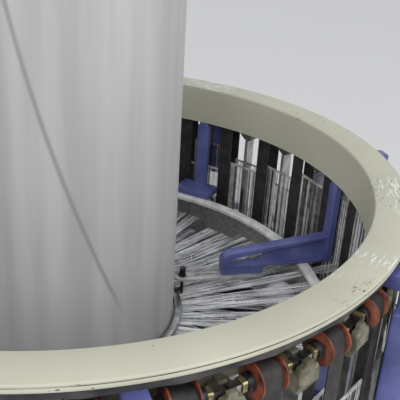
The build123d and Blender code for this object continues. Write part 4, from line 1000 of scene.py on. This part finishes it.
def paint_crease_shade(finish, round_tube, width, shade):
    """One crease in painted shade: a soft darker line that winds slowly down the tube and fades at its foot.
    """
    link = finish.node_tree.links.new
    shader = finish.node_tree.nodes["Principled BSDF"]
    so_far = shader.inputs["Base Color"].links[0].from_socket
    parts = node(finish, "ShaderNodeSeparateXYZ")
    link(round_tube.outputs[0], parts.inputs[0])
    bend, lean, start = crease_curve
    turning = node(finish, "ShaderNodeMath", operation="MULTIPLY_ADD")
    turning.inputs[1].default_value = bend
    turning.inputs[2].default_value = lean
    line = node(finish, "ShaderNodeMath", operation="MULTIPLY_ADD")
    line.inputs[2].default_value = start
    along = node(finish, "ShaderNodeMath", operation="MULTIPLY")
    along.inputs[1].default_value = arc_radius
    away = node(finish, "ShaderNodeMath", operation="SUBTRACT")
    aside = node(finish, "ShaderNodeMath", operation="ABSOLUTE")
    fade = node(finish, "ShaderNodeMapRange", interpolation_type="SMOOTHSTEP")
    fade.inputs["From Min"].default_value = 0.0
    fade.inputs["From Max"].default_value = width
    fade.inputs["To Min"].default_value = 0.8
    fade.inputs["To Max"].default_value = 0.0
    foot = node(finish, "ShaderNodeMapRange")
    foot.inputs["From Min"].default_value = crease_foot
    foot.inputs["From Max"].default_value = crease_foot + crease_fade
    both = node(finish, "ShaderNodeMath", operation="MULTIPLY")
    mixed = node(finish, "ShaderNodeMix", data_type="RGBA")
    mixed.inputs[mix_second].default_value = (*shade, 1)
    link(parts.outputs["Z"], turning.inputs[0])
    link(turning.outputs[0], line.inputs[0])
    link(parts.outputs["Z"], line.inputs[1])
    link(line.outputs[0], along.inputs[0])
    link(parts.outputs["X"], away.inputs[0])
    link(along.outputs[0], away.inputs[1])
    link(away.outputs[0], aside.inputs[0])
    link(aside.outputs[0], fade.inputs["Value"])
    link(parts.outputs["Z"], foot.inputs["Value"])
    link(fade.outputs["Result"], both.inputs[0])
    link(foot.outputs["Result"], both.inputs[1])
    link(both.outputs[0], mixed.inputs["Factor"])
    link(so_far, mixed.inputs[mix_first])
    link(mixed.outputs[mix_result], shader.inputs["Base Color"])


cloth_place = weave(woven, 0.0025, 0.12)
paint_crease_shade(woven, cloth_place, 0.024, (0.25, 0.25, 0.24))
flat_half = 0.416
tube_radius = 2 * flat_half / pi
cloth_turns = 160
cloth_rows = 110
fell_edge = 0.672
round_to = 1.5
flat_from = 2.28
cloth_top = 2.409
cloth_half_gap = 0.0012


def cloth_point(turn, height):
    """A point of the cloth, this far round the tube and up it: round below, flat in the nip."""
    share = min(1.0, max(0.0, (height - round_to) / (flat_from - round_to)))
    share = share * share * (3 - 2 * share)
    round_x = tube_radius * cos(turn)
    round_y = tube_radius * sin(turn)
    around = turn % (2 * pi)
    front = around < pi
    flat_x = flat_half * (1 - 2 * around / pi) if front else -flat_half * (1 - 2 * (around - pi) / pi)
    flat_y = cloth_half_gap if front else -cloth_half_gap
    return round_x + (flat_x - round_x) * share, round_y + (flat_y - round_y) * share, height


points = []
for row in range(cloth_rows + 1):
    height = fell_edge + (cloth_top - fell_edge) * row / cloth_rows
    for i in range(cloth_turns):
        points.append(cloth_point(2 * pi * (i + 0.5) / cloth_turns, height))
faces = []
for row in range(cloth_rows):
    for i in range(cloth_turns):
        j = (i + 1) % cloth_turns
        a = row * cloth_turns
        faces.append((a + i, a + j, a + cloth_turns + j, a + cloth_turns + i))
cloth = mesh_piece("woven_tube", points, faces, woven, 0)
cloth.data.shade_smooth()
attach(cloth, "frame")
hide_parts("fabric_tube")

# Take-up tower: a portal welded from steel, in blue enamel, that stands on the floor over the loom.
# Two rubber-covered rollers turn in its bearing plates and nip the cloth, and a geared motor
# beside one post turns one of them.
eased("portal", "tower_frame", 0.004, blue_enamel)
nip_rubber = plain_finish("nip_rubber", (0.03, 0.03, 0.03), 0.6)
vary(nip_rubber, (0.018, 0.018, 0.018), (0.06, 0.06, 0.058), 20)
roughen(nip_rubber, 800, 0.5, 0.75, 0.3)
laid_along_x = Matrix.Rotation(radians(90), 4, "Y")
nip_offset = 0.0619
nip_height = 2.350
roller_outline = [
    (0.0010, -0.999), (0.0190, -0.999), (0.0200, -0.998), (0.0200, -0.975),
    (0.0580, -0.975), (0.0600, -0.973), (0.0600, 0.973), (0.0580, 0.975),
    (0.0200, 0.975), (0.0200, 0.998), (0.0190, 0.999), (0.0010, 0.999),
]
for body, side in (("driven_roller", -1), ("pressing_roller", 1)):
    node_name = "nip_roller_driven" if side < 0 else "nip_roller_pressing"
    place = Matrix.Translation((0, side * nip_offset, nip_height)) @ laid_along_x
    nip = many_turned(f"{body}_rubber", roller_outline, nip_rubber, [place], 64, 40)
    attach(nip, body)
    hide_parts(node_name)
eased("take_up_motor", "take_up_gearmotor", 0.006, dark_casting)
